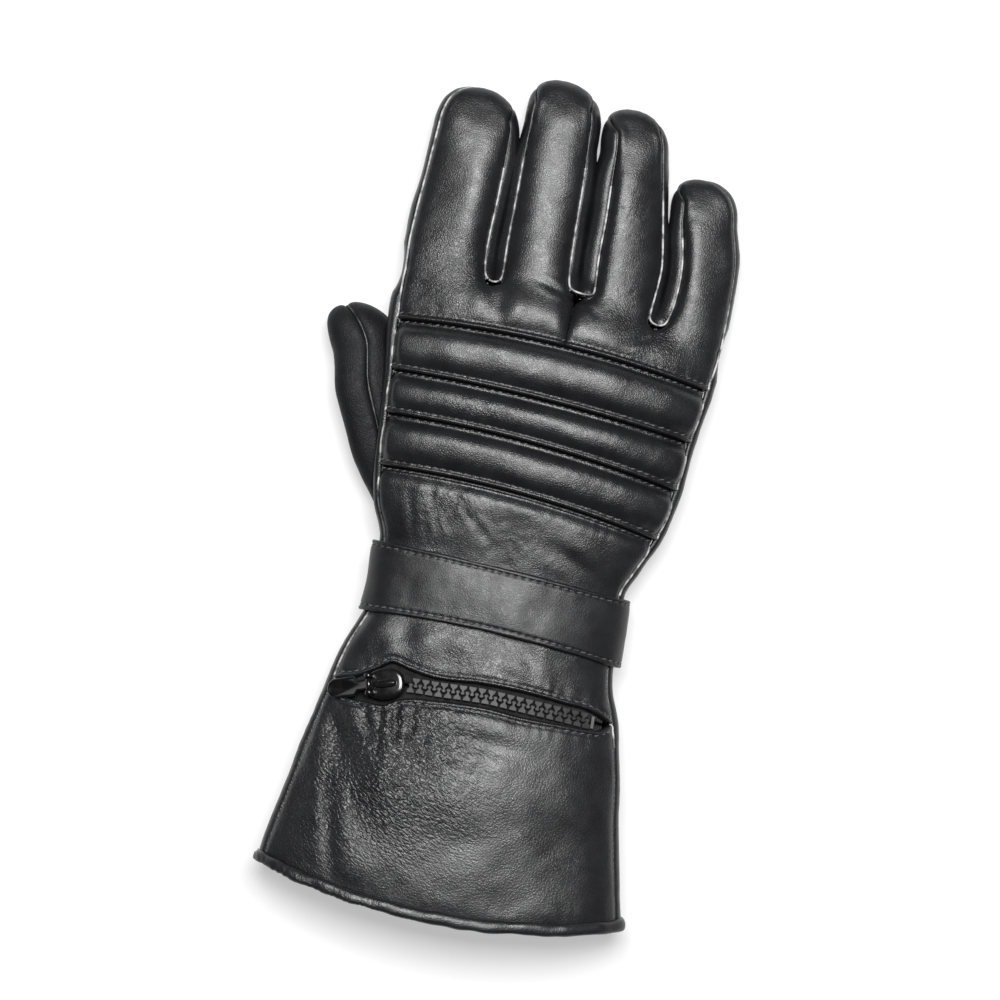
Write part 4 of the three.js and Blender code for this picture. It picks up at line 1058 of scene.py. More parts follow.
# What all the hides share. Scales are cells a metre and depths are metres
hideLook = {
    "dark": (0.006, 0.006, 0.007), "light": (0.011, 0.0115, 0.013), "tintScale": 70, "gloss": 0.5,
    "coat": 0.05, "coatRoughness": 0.3, "sheenScale": 160, "sheenRange": (0.05, 0.06),
    "warp": 0.0012, "warpScale": 420, "poreWidth": 0.28, "pebbleBump": 0.2, "pebbleDepth": 0.0002,
    "fineRatio": 1.6, "fineBump": 0.2, "fineDepth": 0.00025, "wornPebble": 0.4,
    "creaseWidth": 0.3, "creaseDepth": 0.00045,
}
leather = leatherMaterial("leather", {
    **hideLook, "roughness": 0.36, "pebble": 1150,
    "creaseHeading": -50, "creaseSize": (0.0036, 0.0011, 0.002), "creaseBump": 0.4})
cuffLeather = leatherMaterial("cuff leather", {
    **hideLook, "roughness": 0.38, "pebble": 900, "fineBump": 0.15, "wornPebble": 0.1,
    "creaseHeading": -30, "creaseSize": (0.0036, 0.0013, 0.002), "creaseBump": 0.75})
strapLeather = leatherMaterial("strap leather", {
    **hideLook, "roughness": 0.4, "gloss": 0.42, "pebble": 1250, "pebbleBump": 0.16, "fineBump": 0.1,
    "creaseHeading": 20, "creaseSize": (0.003, 0.0011, 0.002), "creaseBump": 0.3})
# The same hide with its gloss turned down so that the thumb looks shaded: painted shade, not a different
# leather
thumbLeatherDulledForShade = leatherMaterial("thumb leather dulled for shade", {
    **hideLook, "roughness": 0.5, "gloss": 0.16, "coat": 0, "pebble": 1000, "pebbleBump": 0.35,
    "creaseHeading": 60, "creaseSize": (0.003, 0.0012, 0.002), "creaseBump": 0.5})
hides = (leather, cuffLeather, strapLeather, thumbLeatherDulledForShade)


plainGrain = {"sheenRange": (0.06, 0.08), "depth": 0.0002}


# Everything that isn't leather: one grey that turns to another in a noise, and a fine grain
def plainMaterial(name, look):
    material, tree, surface, place = newMaterial(name, {"Specular IOR Level": look.get("gloss", 0.5)})
    patches = noiseAt(tree, place, look.get("patches", 300))
    share = addNode(tree, "ShaderNodeMapRange", {"Value": patches, "From Min": 0.4, "From Max": 0.6})
    greys = {"A": (*[look["dark"]] * 3, 1), "B": (*[look["light"]] * 3, 1)}
    tint = addNode(tree, "ShaderNodeMix", {**greys, "Factor": share}, "Result", data_type="RGBA")
    tree.links.new(tint, surface["Base Color"])
    grain = noiseAt(tree, place, look["grainScale"])
    smoother, rougher = plainGrain["sheenRange"]
    ends = {"To Min": look["roughness"] - smoother, "To Max": look["roughness"] + rougher}
    tree.links.new(addNode(tree, "ShaderNodeMapRange", {"Value": grain, **ends}), surface["Roughness"])
    bump = addNode(tree, "ShaderNodeBump",
                   {"Strength": look["grain"], "Distance": plainGrain["depth"], "Height": grain})
    tree.links.new(bump, surface["Normal"])
    return material


# Black thread; its lighter grey patches are partly a painted highlight, so the stitch dashes read as lit
# thread
thread = plainMaterial("black thread", {
    "dark": 0.025, "light": 0.12, "roughness": 0.34, "grain": 0.4, "grainScale": 1500})
# The cut edge of the seam bead: partly the raw edge's own paler grey, partly a painted highlight where the
# bead catches the light
cutEdgePaintedHighlight = plainMaterial("cut leather edge with painted highlight", {
    "dark": 0.1, "light": 0.5, "roughness": 0.4, "grain": 0.6, "grainScale": 1400, "patches": 260})
# The same cut edge darkened as painted shade, for the bead where it turns away from the light
cutEdgePaintedShade = plainMaterial("cut leather edge in painted shade", {
    "dark": 0.01, "light": 0.06, "roughness": 0.35, "grain": 0.5, "grainScale": 1400, "patches": 260})
moulded = plainMaterial("moulded plastic", {
    "dark": 0.02, "light": 0.04, "roughness": 0.38, "grain": 0.1, "grainScale": 900})
enamel = plainMaterial("black enamel", {
    "dark": 0.004, "light": 0.007, "roughness": 0.17, "grain": 0.05, "grainScale": 300})
wovenTape = plainMaterial("woven tape", {
    "dark": 0.006, "light": 0.014, "roughness": 0.55, "grain": 0.6, "grainScale": 2200, "gloss": 0.22})
hookFabric = plainMaterial("hook fabric", {
    "dark": 0.008, "light": 0.02, "roughness": 0.9, "grain": 1.0, "grainScale": 1600})
print("materials and trees made")


# The leather panels of the back
ribRows = seamRows["ribs"]
stitchRow = 6  # the row of points that lies one stitch margin from a fine edge
ledgeRow = 3  # and the row that the ledge's stitches follow
panels = {}


def backGrid(start, end, fineStart=True, fineEnd=True):
    stations = rowsBetween(start, end, cut["back"], fineStart, fineEnd)
    return skin(stations[:, None], backTurns[None, :])


# A patch of leather with the form of the seam along each rim; its other rims carry stitches
def sewnPatch(grids, rims, forms):
    patch = makePatch(grids, rims)
    patch["forms"] = forms
    return patch


# One grid of the back as a patch, sewn below, above, left and right, with its rows of stitches
def backPatch(grid, low, high, stitches):
    rims = {"low": grid[0], "high": grid[-1], "left": grid[:, 0], "right": grid[:, -1]}
    rims.update({name: grid[row] for name, row in stitches.items()})
    return sewnPatch([grid], rims, {"low": low, "high": high, "left": "side", "right": "side"})


knuckleStations = rowsBetween(ribRows[-1], seamRows["fork"], cut["back"], fineEnd=False)
knuckleRows = knuckleGrid(knuckleStations, backTurns, backRoots)
fingerBacks = [
    fingerGrid(finger, "back", fingerStops(finger, cut["back"]), cut["fingerColumns"])
    for finger in fingers
]
middleColumn = 2 * cut["fingerColumns"]  # the seam between the middle and ring fingers
forkSmooth = {"reach": 11.0, "rounds": 90, "loose": 2, "looseWeight": 0.8}


# A patch whose hand rows run on into fingers, evened out where they meet
def handPatch(handRows, grids, rims, forms):
    seams = [edge for grid in grids for edge in (grid[:, 0], grid[:, -1])]
    rims = {**rims, "roots": handRows[-1], **{f"finger{k}": edge for k, edge in enumerate(seams)}}
    forms = {**forms, **{f"finger{k}": "side" for k in range(len(seams))}}
    patch = sewnPatch([handRows] + grids, rims, forms)
    weight = 1 - ease(rimDistance(patch, "roots")[0] / forkSmooth["reach"])
    for name in forms:
        weight[patch["rims"][name]] = 0
    for k in range(1, len(seams) - 1):
        weight[patch["rims"][f"finger{k}"][:forkSmooth["loose"]]] = forkSmooth["looseWeight"]
    patch["points"] = relax(patch["points"], patch["quads"], weight, forkSmooth["rounds"])
    return patch


innerRows, outerRows = knuckleRows[:, :middleColumn + 1], knuckleRows[:, middleColumn:]
for name, rows, outer, join, backs in (
    ("knuckle_panel_inner", innerRows, 0, -1, fingerBacks[:2]),
    ("knuckle_panel_outer", outerRows, -1, 0, fingerBacks[2:]),
):
    rims = {"low": rows[0], "outer": rows[:, outer], "join": rows[:, join], "stitches": rows[stitchRow]}
    panels[name] = handPatch(rows, backs, rims, {"low": "above", "outer": "side", "join": "side"})

for number in range(3):
    grid = backGrid(ribRows[number], ribRows[number + 1])
    patch = backPatch(grid, "above", "below", {"stitches": stitchRow, "ledge": -1 - ledgeRow})
    gaps = {name: rimDistance(patch, name)[0] for name in patch["forms"]}
    share = gaps["low"] / (gaps["low"] + gaps["high"])
    swell = ribSwell["height"] * (1 - np.abs(2 * share - 1) ** ribSwell["power"])
    patch["swell"] = swell * ease(np.minimum(gaps["left"], gaps["right"]) / ribSwell["fade"])
    panels[f"rib_{number + 1}"] = patch

wristLip = lipGrid("upper", seamRows["strapLow"], cut["back"])[::-1]
wristRows = np.concatenate((wristLip[:-1], backGrid(seamRows["strapLow"], ribRows[0], fineStart=False)))
panels["wrist_panel"] = backPatch(wristRows, "lip", "below", {"stitches": stitchRow, "ledge": -1 - ledgeRow})

cuffStart = -105.0  # where the cuff's rows begin to bend towards the lip of the zip
cuffRows = np.concatenate((
    backGrid(seamRows["hem"], cuffStart, fineEnd=False)[:-1],
    lipGrid("lower", cuffStart, cut["back"]),
))
panels["gauntlet_back"] = backPatch(cuffRows, "hem", "lip", {"stitches": -1 - stitchRow})

# The leather of the palm side
palmStations = rowsBetween(seamRows["strapMid"], ribRows[-1], cut["palm"], fineEnd=False)
palmKnuckleStations = rowsBetween(ribRows[-1], seamRows["fork"], cut["palm"], False, False)
palmRows = np.concatenate((
    skin(palmStations[:, None], palmTurns[None, :])[:-1],
    knuckleGrid(palmKnuckleStations, palmTurns, palmRoots),
))
fingerPalms = [
    fingerGrid(finger, "palm", fingerStops(finger, cut["palm"]), columns)
    for finger, columns in zip(fingers, cut["palmColumns"])
]
panels["palm_panel"] = handPatch(palmRows, fingerPalms, {
    "low": palmRows[0], "right": palmRows[:, 0], "left": palmRows[:, -1],
}, {"low": "hem", "right": "side", "left": "side"})
cuffPalmStations = rowsBetween(seamRows["hem"], seamRows["strapMid"], cut["palm"])
cuffPalmRows = skin(cuffPalmStations[:, None], palmTurns[None, :])
panels["gauntlet_palm"] = sewnPatch([cuffPalmRows], {
    "hem": cuffPalmRows[0], "high": cuffPalmRows[-1],
    "right": cuffPalmRows[:, 0], "left": cuffPalmRows[:, -1],
}, {"hem": "hem", "high": "hem", "left": "side", "right": "side"})


# How the side pieces swell between the fingers
sideSwell = {"height": 1.1, "reach": 5.0, "fadeFrom": -9.0, "fadeOver": 11.0}


# A side piece between two fingers, folded at the fork and pressed against its neighbour
def fourchettePatch(number):
    grids = []
    for finger, part in ((fingers[number], "right"), (fingers[number + 1], "left")):
        stops = fingerStops(finger, cut["back"] * cut["side"])
        last = mix(finger["cap"], finger["reach"], seamsMeet["at"])
        past = (stops - finger["cap"]) / (finger["reach"] - finger["cap"])
        stops = np.append(stops[past < seamsMeet["at"]], last)
        grids.append(fingerGrid(finger, part, stops, cut["sideColumns"]))
    edges = {f"edge{k}": grids[k // 2][:, -(k % 2)] for k in range(4)}
    patch = sewnPatch(grids, edges, {name: "side" for name in edges})
    gap = np.min([rimDistance(patch, name)[0] for name in edges], axis=0)
    patch["swell"] = sideSwell["height"] * ease(gap / sideSwell["reach"])
    for finger in fingers[number:number + 2]:
        along = (patch["points"][:, :2] - np.array(finger["origin"])) @ finger["ahead"]
        patch["swell"] *= 1 - ease((along - finger["cap"] - sideSwell["fadeFrom"]) / sideSwell["fadeOver"])
    return patch


for number in range(3):
    beside = "_".join(finger["name"] for finger in fingers[number:number + 2])
    panels[f"fourchette_{beside}"] = fourchettePatch(number)

# The thumb
capTurns = math.pi / 2 * np.arange(1, cut["thumbCapRows"] + 1) / cut["thumbCapRows"]
thumbStops = np.concatenate((
    np.linspace(thumb["girth"]["at"][0], thumb["cap"], cut["thumbRows"]),
    thumb["cap"] + (thumb["reach"] - thumb["cap"]) * np.sin(capTurns),
))
thumbSides = {
    "thumb_outer": (thumb["seamLow"], thumb["seamTop"] - 360),
    "thumb_inner": (thumb["seamTop"], thumb["seamLow"]),
}
for name, (start, end) in thumbSides.items():
    grid = thumbGrid(thumbStops, start, end, cut["thumbColumns"])
    rims = {"first": grid[:, 0], "last": grid[:, -1]}
    panels[name] = sewnPatch([grid], rims, {"first": "side", "last": "side"})
print("leather panels cut:", sum(len(patch["points"]) for patch in panels.values()), "points")

# What each kind of panel is made of: wall thickness, how full its padding is, hide and slot
makeUp = {
    "knuckle": (2.6, 0.7, leather, "leather"),
    "rib": (3.2, 0.85, leather, "leather"),
    "wrist": (2.4, 0.4, leather, "leather"),
    "palm": (2.0, 0.4, leather, "leather"),
    "fourchette": (1.8, None, leather, "leather"),
    "thumb": (2.0, 0.5, thumbLeatherDulledForShade, "leather"),
    "gauntlet": (2.2, 0.3, cuffLeather, "cuff_leather"),
}
for name, patch in panels.items():
    thickness, fill, hide, slot = makeUp[name.split("_")[0]]
    normals = vertexNormals(patch["points"], patch["quads"])
    points, faces = wallFaces(patch, thickness, patchRelief(patch, normals))
    dressed("leather_" + name, points, faces, hide, (name,))
print("leather panels sewn")


# The sewn edges that show: a fine bead of cut leather along each side and finger seam. The shares below say
# where along a seam the bead turns from the grey with a painted highlight to the grey in painted shade
bead = {
    "radius": 0.4, "lift": 0.42, "smooth": 5, "spacing": 0.6, "unevenness": 0.75, "paintedLitShare": 0.5,
    "littlePaintedLitShare": 0.2, "wristPaintedShade": (-30, -4), "rightEnd": -30, "cuffEnd": (-89, -77), "joinGap": 0.05,
}
ribNames = ["rib_1", "rib_2", "rib_3"]


def rimLine(panel, name, lift):
    patch = panels[panel]
    ids = patch["rims"][name]
    return patch["outer"][ids] + patch["normals"][ids] * lift


def smoothed(line, rounds):
    line = line.copy()
    for turn in range(rounds):
        line[1:-1] = (line[:-2] + line[2:] + 2 * line[1:-1]) / 4
    return line


def joinedLine(parts):
    line = np.concatenate(parts)
    step = np.linalg.norm(np.diff(line, axis=0), axis=1)
    return line[np.concatenate(([True], step > bead["joinGap"]))]


# The bead is painted lit, pale, beside the lower part of each finger and along most side seams, and painted
# shaded, dark, round the tips, on part of the wrist side and on the thumb: one cut edge in a lit and a
# shaded copy
def addBeads():
    lift = bead["lift"]
    inner, outer = "knuckle_panel_inner", "knuckle_panel_outer"
    paintedLitLines, dark = [], []

    def fingerSide(panel, k, paintedLitShare=bead["paintedLitShare"]):
        line = rimLine(panel, f"finger{k}", lift)
        turn = round(len(line) * paintedLitShare)
        return line[:turn + 1], line[turn:]
    wristSide = rimLine("wrist_panel", "left", lift)
    low, high = bead["wristPaintedShade"]
    paintedLitLines.append(wristSide[wristSide[:, 1] < low])
    dark.append(wristSide[(wristSide[:, 1] > low) & (wristSide[:, 1] < high)])
    leftSide = [wristSide[wristSide[:, 1] >= high]] + [rimLine(name, "left", lift) for name in ribNames]
    paintedLitLines.append(joinedLine(leftSide + [rimLine(inner, "outer", lift), rimLine(inner, "finger0", lift)]))
    for sides in (((inner, 1), (inner, 2)), ((inner, 3), (outer, 0)), ((outer, 1), (outer, 2))):
        (firstLow, firstTip), (lastLow, lastTip) = [fingerSide(*side) for side in sides]
        paintedLitLines.append(joinedLine([firstLow[:1:-1], lastLow[2:]]))
        dark += [firstTip, lastTip]
    rightSide = [rimLine(name, "right", lift) for name in ["wrist_panel"] + ribNames]
    rightSide[0] = rightSide[0][rightSide[0][:, 1] > bead["rightEnd"]]
    littleLow, littleTip = fingerSide(outer, 3, bead["littlePaintedLitShare"])
    paintedLitLines.append(joinedLine(rightSide + [rimLine(outer, "outer", lift), littleLow]))
    dark.append(littleTip)
    cuffSide = rimLine("gauntlet_back", "right", lift)
    low, high = bead["cuffEnd"]
    paintedLitLines.append(cuffSide[(cuffSide[:, 1] > low) & (cuffSide[:, 1] < high)])
    dark.append(rimLine("thumb_outer", "last", lift))
    # the pale beads carry the painted highlight, the dark ones the painted shade
    for name, lines, material in (("seam_beads", paintedLitLines, cutEdgePaintedHighlight), ("seam_beads_tips", dark, cutEdgePaintedShade)):
        mesh = grow(name, trees["bead"], [smoothed(line, bead["smooth"]) for line in lines], {
            "Radius": bead["radius"] * mm, "Spacing": bead["spacing"] * mm,
            "Unevenness": bead["unevenness"], "Material": material})
        dressMesh(name, mesh)


addBeads()

hem = {
    "height": 5.4, "inside": 3.0, "outside": 1.5, "gap": -0.6, "sides": 22, "turns": 380, "fullness": 0.8,
    "lump": 11, "lumpDepth": 0.16, "crease": 3.4, "creaseDepth": 0.13, "creaseHeading": -80,
    "creaseFan": 25, "creaseMiddle": 0.25, "leftFrom": 10, "leftOver": 50, "rightShare": 0.25,
    "seed": 71, "fill": 0.6,
}


def signedPower(value, power):
    return np.sign(value) * np.abs(value) ** power


# The rolled hem, a closed tube round the mouth of the cuff
def addHem():
    angle = 2 * math.pi * np.arange(hem["sides"] + 1) / hem["sides"]
    down = hem["height"] / 2 * (1 + signedPower(np.cos(angle), hem["fullness"]))
    lift = mix(-hem["inside"], hem["outside"], (1 + signedPower(np.sin(angle), hem["fullness"])) / 2)
    turns = np.linspace(0, 2, hem["turns"])
    at = seamRows["hem"] - hem["gap"] - down
    patch = makePatch([skin(at[:, None], turns[None, :], lift[:, None])], {})
    points, quads = patch["points"], patch["quads"]
    leftPart = ease((hem["leftFrom"] - points[:, 0]) / hem["leftOver"])
    lines = ripple(points, hem["crease"], hem["seed"] + 1, hem["creaseHeading"], hem["creaseFan"])
    height = ripple(points, hem["lump"], hem["seed"]) * hem["lumpDepth"]
    height += (hem["creaseMiddle"] - np.abs(lines)) * hem["creaseDepth"] * (hem["rightShare"] + leftPart)
    outer = aboveFloor(points + vertexNormals(points, quads) * height[:, None], points)
    faces = cleanFaces(quads)
    dressed("leather_hem_roll", outer, faces, cuffLeather, ("hem_roll",))


addHem()

strapMounds = tableOf(("x", "y", "heading", "length", "width", "height"), [(14, -38, 90, 60, 20, 1.4)])
strap = {
    "thickness": 2.2, "lift": 0.5, "underLift": 2.7, "from": -0.03, "to": 1.6, "dipsAt": 1.12,
    "dipsOver": 0.16, "backColumns": 230, "underColumns": 90, "rounding": 0.8, "corner": 6,
    "stitchIn": 1.8, "groove": 0.3, "grooveWidth": 0.6, "crown": 0.35, "crownReach": 9,
    "lump": 17, "lumpDepth": 0.11, "small": 6, "smallDepth": 0.02, "seed": 81,
}


# The strap's section, anticlockwise from its upper edge: places along the hand, and heights
def strapProfile():
    low, high = seamRows["strapLow"], seamRows["strapTop"]
    r, t = strap["rounding"], strap["thickness"]
    corners = (
        # middle of the corner, its first angle, the steps of the side after it and where that side ends
        (high - r, t - r, 0, 46, (low + r, t)),
        (low + r, t - r, 90, 3, (low, r)),
        (low + r, r, 180, 8, (high - r, 0)),
        (high - r, r, 270, 3, (high, t - r)),
    )
    section = []
    for x, z, start, steps, (nextX, nextZ) in corners:
        for k in range(strap["corner"]):
            angle = math.radians(start + 90 * k / (strap["corner"] - 1))
            section.append((x + r * math.cos(angle), z + r * math.sin(angle)))
        lastX, lastZ = section[-1]
        section += [(mix(lastX, nextX, k / steps), mix(lastZ, nextZ, k / steps)) for k in range(1, steps)]
    return np.array(section + section[:1])


# The strap lies over the back, round the thumb side and in under the wrist
def addStrap():
    section = strapProfile()
    along = section[:, 0]
    turns = np.concatenate((
        np.linspace(strap["from"], 1.0, strap["backColumns"]),
        np.linspace(1.0, strap["to"], strap["underColumns"])[1:],
    ))
    rise = mix(strap["lift"], strap["underLift"], ease((turns - strap["dipsAt"]) / strap["dipsOver"]))
    onTop = section[:, 1] > strap["thickness"] * 0.99
    fromEdge = np.minimum(seamRows["strapTop"] - along, along - seamRows["strapLow"])
    groove = strap["groove"] * np.exp(-((fromEdge - strap["stitchIn"]) / strap["grooveWidth"]) ** 2)
    shape = np.where(onTop, strap["crown"] * ease(fromEdge / strap["crownReach"]) - groove, 0)
    grid = skin(along[:, None], turns[None, :], rise[None, :] + (section[:, 1] + shape)[:, None])
    high, low = (
        int(np.argmin(np.where(onTop, np.abs(along - place), np.inf)))
        for place in (seamRows["strapTop"] - strap["stitchIn"], seamRows["strapLow"] + strap["stitchIn"])
    )
    patch = makePatch([grid[::-1]], {
        "first": grid[:-1, 0], "last": grid[:-1, -1], "high": grid[high], "low": grid[low]})
    points, quads = patch["points"], patch["quads"]
    normals = vertexNormals(points, quads)
    height = ripple(points, strap["lump"], strap["seed"]) * strap["lumpDepth"]
    height += ripple(points, strap["small"], strap["seed"] + 1) * strap["smallDepth"]
    height += moundHeights(points, clamp(normals[:, 2]), strapMounds)
    height -= stitchDents(patch, ["high", "low"])
    patch["outer"] = points + normals * height[:, None]
    patch["normals"] = vertexNormals(patch["outer"], quads)
    ends = [patch["rims"]["first"][::-1].tolist(), patch["rims"]["last"].tolist()]
    faces = cleanFaces(quads) + ends
    dressed("leather_strap", patch["outer"], faces, strapLeather, ("strap",))
    panels["strap"] = patch


addStrap()

closure = {
    "thickness": 1.3, "lift": 0.7, "from": 1.32, "to": 1.58, "margin": 3.0, "rows": 30, "columns": 50,
    "hook": 0.9, "hookDepth": 0.05, "seed": 91,
}


# The hook patch under the wrist that the strap closes on
def addClosure():
    low, high = seamRows["strapLow"] + closure["margin"], seamRows["strapTop"] - closure["margin"]
    stations = np.linspace(low, high, closure["rows"])
    turns = np.linspace(closure["from"], closure["to"], closure["columns"])
    grid = skin(stations[:, None], turns[None, :], closure["lift"] + closure["thickness"])
    patch = makePatch([grid], {})
    height = ripple(patch["points"], closure["hook"], closure["seed"]) * closure["hookDepth"]
    points, faces = wallFaces(patch, closure["thickness"], height)
    dressed("closure_patch", points, faces, hookFabric, ("closure_patch",))


addClosure()


# Rows of stitches
def stitchCentres(panel, name, lift):
    patch = panels[panel]
    ids = patch["rims"][name]
    holes = evenSteps(patch["points"][ids], stitching["pitch"], stitching["pitch"] / 2)
    tree = treeOf(patch["points"][ids])
    nearest = [ids[tree.find(hole)[1]] for hole in holes]
    shift = patch["outer"][nearest] - patch["points"][nearest] + patch["normals"][nearest] * lift
    return holes + shift


def addStitches():
    folded = ["knuckle_panel_inner", "knuckle_panel_outer"] + ribNames
    ribLines = [stitchCentres(name, "stitches", stitching["ribLift"]) for name in folded]
    ribLines += [stitchCentres(name, "ledge", stitching["ledgeLift"]) for name in ribNames + ["wrist_panel"]]
    flatLift, flatSlant = stitching["flatLift"], stitching["flatSlant"]
    zipLines = [stitchCentres(name, "stitches", flatLift) for name in ("wrist_panel", "gauntlet_back")]
    strapLines = [stitchCentres("strap", name, flatLift) for name in ("high", "low")]
    rows = (
        # name, lines, slant, slot
        ("stitches_ribs", ribLines, stitching["ribSlant"], "leather"),
        ("stitches_zip", zipLines, flatSlant, "leather"),
        ("stitches_strap", strapLines, flatSlant, "strap_leather"),
    )
    for name, lines, slant, slot in rows:
        mesh = grow(name, trees["stitches"], lines, {
            "Length": stitching["length"] * mm, "Radius": stitching["radius"] * mm, "Slant": slant,
            "Unevenness": stitching["unevenness"], "Material": thread})
        dressMesh(name, mesh)


addStitches()
print("strap, hem, beads and stitches made")

# The zip. Its ground is the hand's skin, found from above
groundRows = np.arange(-96, -60, 0.8)
groundColumns = np.linspace(0, 1, 160)
groundPatch = makePatch([skin(groundRows[:, None], groundColumns[None, :])], {})
groundPoints = [tuple(point) for point in groundPatch["points"]]
ground = BVHTree.FromPolygons(groundPoints, cleanFaces(groundPatch["quads"]))
skyHeight = 200  # from well above the glove


def onBack(x, y, lift=0.0):
    spot, normal = ground.ray_cast(Vector((x, y, skyHeight)), Vector((0, 0, -1)))[:2]
    return np.array(spot + normal * lift)


def lipAt(lip, x):
    return float(readTable(lips, "x", lip, x))


tape = {
    "thickness": 0.8, "depth": 3.0, "under": 5.0, "split": 0.4, "from": -52.0, "to": 54.0,
    "rib": 0.85, "ribHeight": 0.22, "columns": 760, "rows": 9,
}
chain = {"from": -24.5, "to": 48.5, "pitch": 3.7, "top": 2.3, "bevel": 0.28, "firsts": (0.75, 0.25)}
endStop = {"after": 1.2, "length": 1.4, "width": 4.8, "top": 2.1, "bevel": 0.2}
# half of a tooth seen from above, from its foot to its head
toothOutline = (
    (1.5, 3.0), (1.55, 2.0), (1.3, 1.45), (0.75, 1.0), (0.56, 0.6), (0.7, 0.25),
    (0.95, -0.05), (0.96, -0.35), (0.7, -0.7), (0.3, -0.9),
)


# A ribbed tape on each side of the teeth, running in under its lip
def addTapes():
    edges = {
        "zip_tape_upper": (("teeth", tape["split"]), ("upper", tape["under"])),
        "zip_tape_lower": (("lower", -tape["under"]), ("teeth", -tape["split"])),
    }
    xs = np.linspace(tape["from"], tape["to"], tape["columns"])
    for name, rows in edges.items():
        low, high = ([lipAt(column, x) + shift for x in xs] for column, shift in rows)
        grid = np.array([
            [onBack(x, mix(low[k], high[k], share), -tape["depth"]) for k, x in enumerate(xs)]
            for share in np.linspace(0, 1, tape["rows"])
        ])
        patch = makePatch([grid], {})
        height = tape["ribHeight"] * np.sin(patch["points"][:, 0] * 2 * math.pi / tape["rib"])
        points, faces = wallFaces(patch, tape["thickness"], height)
        dressed(name, points, faces, wovenTape, (name,))


# A closed body from an outline and its levels, each an inset and a height
def extruded(outline, levels):
    outline = np.array(outline, float)
    ahead = np.roll(outline, -1, axis=0) - np.roll(outline, 1, axis=0)
    inward = np.stack((-ahead[:, 1], ahead[:, 0]), axis=1) / np.linalg.norm(ahead, axis=1)[:, None]
    count = len(outline)
    points = np.concatenate([
        np.concatenate((outline + inward * inset, np.full((count, 1), float(height))), axis=1)
        for inset, height in levels
    ])
    faces = [list(range(count))[::-1], [len(points) - count + k for k in range(count)]]
    for level in range(len(levels) - 1):
        base = level * count
        for k in range(count):
            after = (k + 1) % count
            faces.append([base + k, base + after, base + count + after, base + count + k])
    return points, faces


def joinedBodies(bodies):
    points, faces = [], []
    offset = 0
    for bodyPoints, bodyFaces in bodies:
        points.append(bodyPoints)
        faces += [[corner + offset for corner in face] for face in bodyFaces]
        offset += len(bodyPoints)
    return np.concatenate(points), faces


# Two rows of teeth that reach between each other, and the bar that ends them
def addTeeth():
    outline = list(toothOutline) + [(-x, y) for x, y in reversed(toothOutline)]
    top, bevel = chain["top"], chain["bevel"]
    points, faces = extruded(outline[::-1], ((0, 0), (0, top - bevel), (bevel, top)))
    bodies = []
    for sign, first in zip((1, -1), chain["firsts"]):
        mesh = bpy.data.meshes.new("tooth")
        mesh.from_pydata([tuple(point) for point in points * (sign, sign, 1) * mm], [], faces)
        part = bpy.data.objects.new("tooth", mesh)
        bpy.context.scene.collection.objects.link(part)
        xs = np.arange(chain["from"] + first * chain["pitch"], chain["to"], chain["pitch"])
        line = [onBack(x, lipAt("teeth", x), -tape["depth"]) for x in xs]
        row = grow("teeth", trees["row"], [line], {"Part": part, "Material": moulded})
        bpy.data.objects.remove(part)
        places = np.zeros(len(row.vertices) * 3)
        row.vertices.foreach_get("co", places)
        bodies.append((places.reshape(-1, 3) / mm, [list(face.vertices) for face in row.polygons]))
    stopX = chain["to"] + endStop["after"]
    halfLength, halfWidth = endStop["length"] / 2, endStop["width"] / 2
    corners = [(x * halfLength, y * halfWidth) for x, y in ((-1, -1), (1, -1), (1, 1), (-1, 1))]
    top, bevel = endStop["top"], endStop["bevel"]
    stop, stopFaces = extruded(corners, ((0, 0), (0, top - bevel), (bevel, top)))
    bodies.append((stop + onBack(stopX, lipAt("teeth", stopX), -tape["depth"]), stopFaces))
    points, faces = joinedBodies(bodies)
    piece = dressed("zip_teeth", points, faces, moulded, ("zip_teeth",))
    piece.data.shade_flat()


slider = {
    "x": -33.0, "y": -77.4, "heading": (-0.97, -0.24), "length": 15.0, "width": 12.4, "waist": 7.5,
    "thickness": 2.8, "sink": 0.4,
    "foot": ((0.4, 0), (0, 0.35)),
    "crown": ((0, -0.7), (0.25, -0.25), (0.8, 0), (1.8, 0.15)),  # insets and heights from its top
    "bridge": ((-4.8, -1.5), (4.2, -1.7), (4.2, 1.7), (-4.8, 1.5)),
    "bridgeCrown": ((0, -0.4), (0, 1.0), (0.3, 1.5), (0.9, 1.75)),
}
hinge = {
    "along": 5.8, "lift": 2.2, "radius": 1.3, "width": 4.2, "earWidth": 1.7, "earLength": 4.4,
    "earCrown": 1.8, "earGap": 0.35, "earBevel": 0.25, "earSteps": 12, "bevel": 0.2,
}
tab = {
    "reach": 19.0, "width": 7.6, "neck": 5.0, "neckWidth": 4.0, "shoulder": 1.5, "restsAt": 21.0,
    "clearance": 2.0, "half": 0.9, "bevel": 0.3, "rim": 0.8, "noseSteps": 20,
}


# The slider's own directions on the leather, and where it sits
def sliderFrame():
    x, y = slider["x"], slider["y"]
    hx, hy = slider["heading"]
    ahead = onBack(x + hx, y + hy) - onBack(x, y)
    ahead /= np.linalg.norm(ahead)
    beside = onBack(x - hy, y + hx) - onBack(x, y)
    up = np.cross(ahead, beside)
    up /= np.linalg.norm(up)
    return np.stack((ahead, np.cross(up, ahead), up), axis=1), onBack(x, y, -slider["sink"])


# Cuts the corners of a closed outline, a few times over
def roundedOutline(corners, rounds=3):
    line = np.array(corners, float)
    for turn in range(rounds):
        after = np.roll(line, -1, axis=0)
        line = np.stack((mix(line, after, 0.25), mix(line, after, 0.75)), axis=1).reshape(-1, 2)
    return line


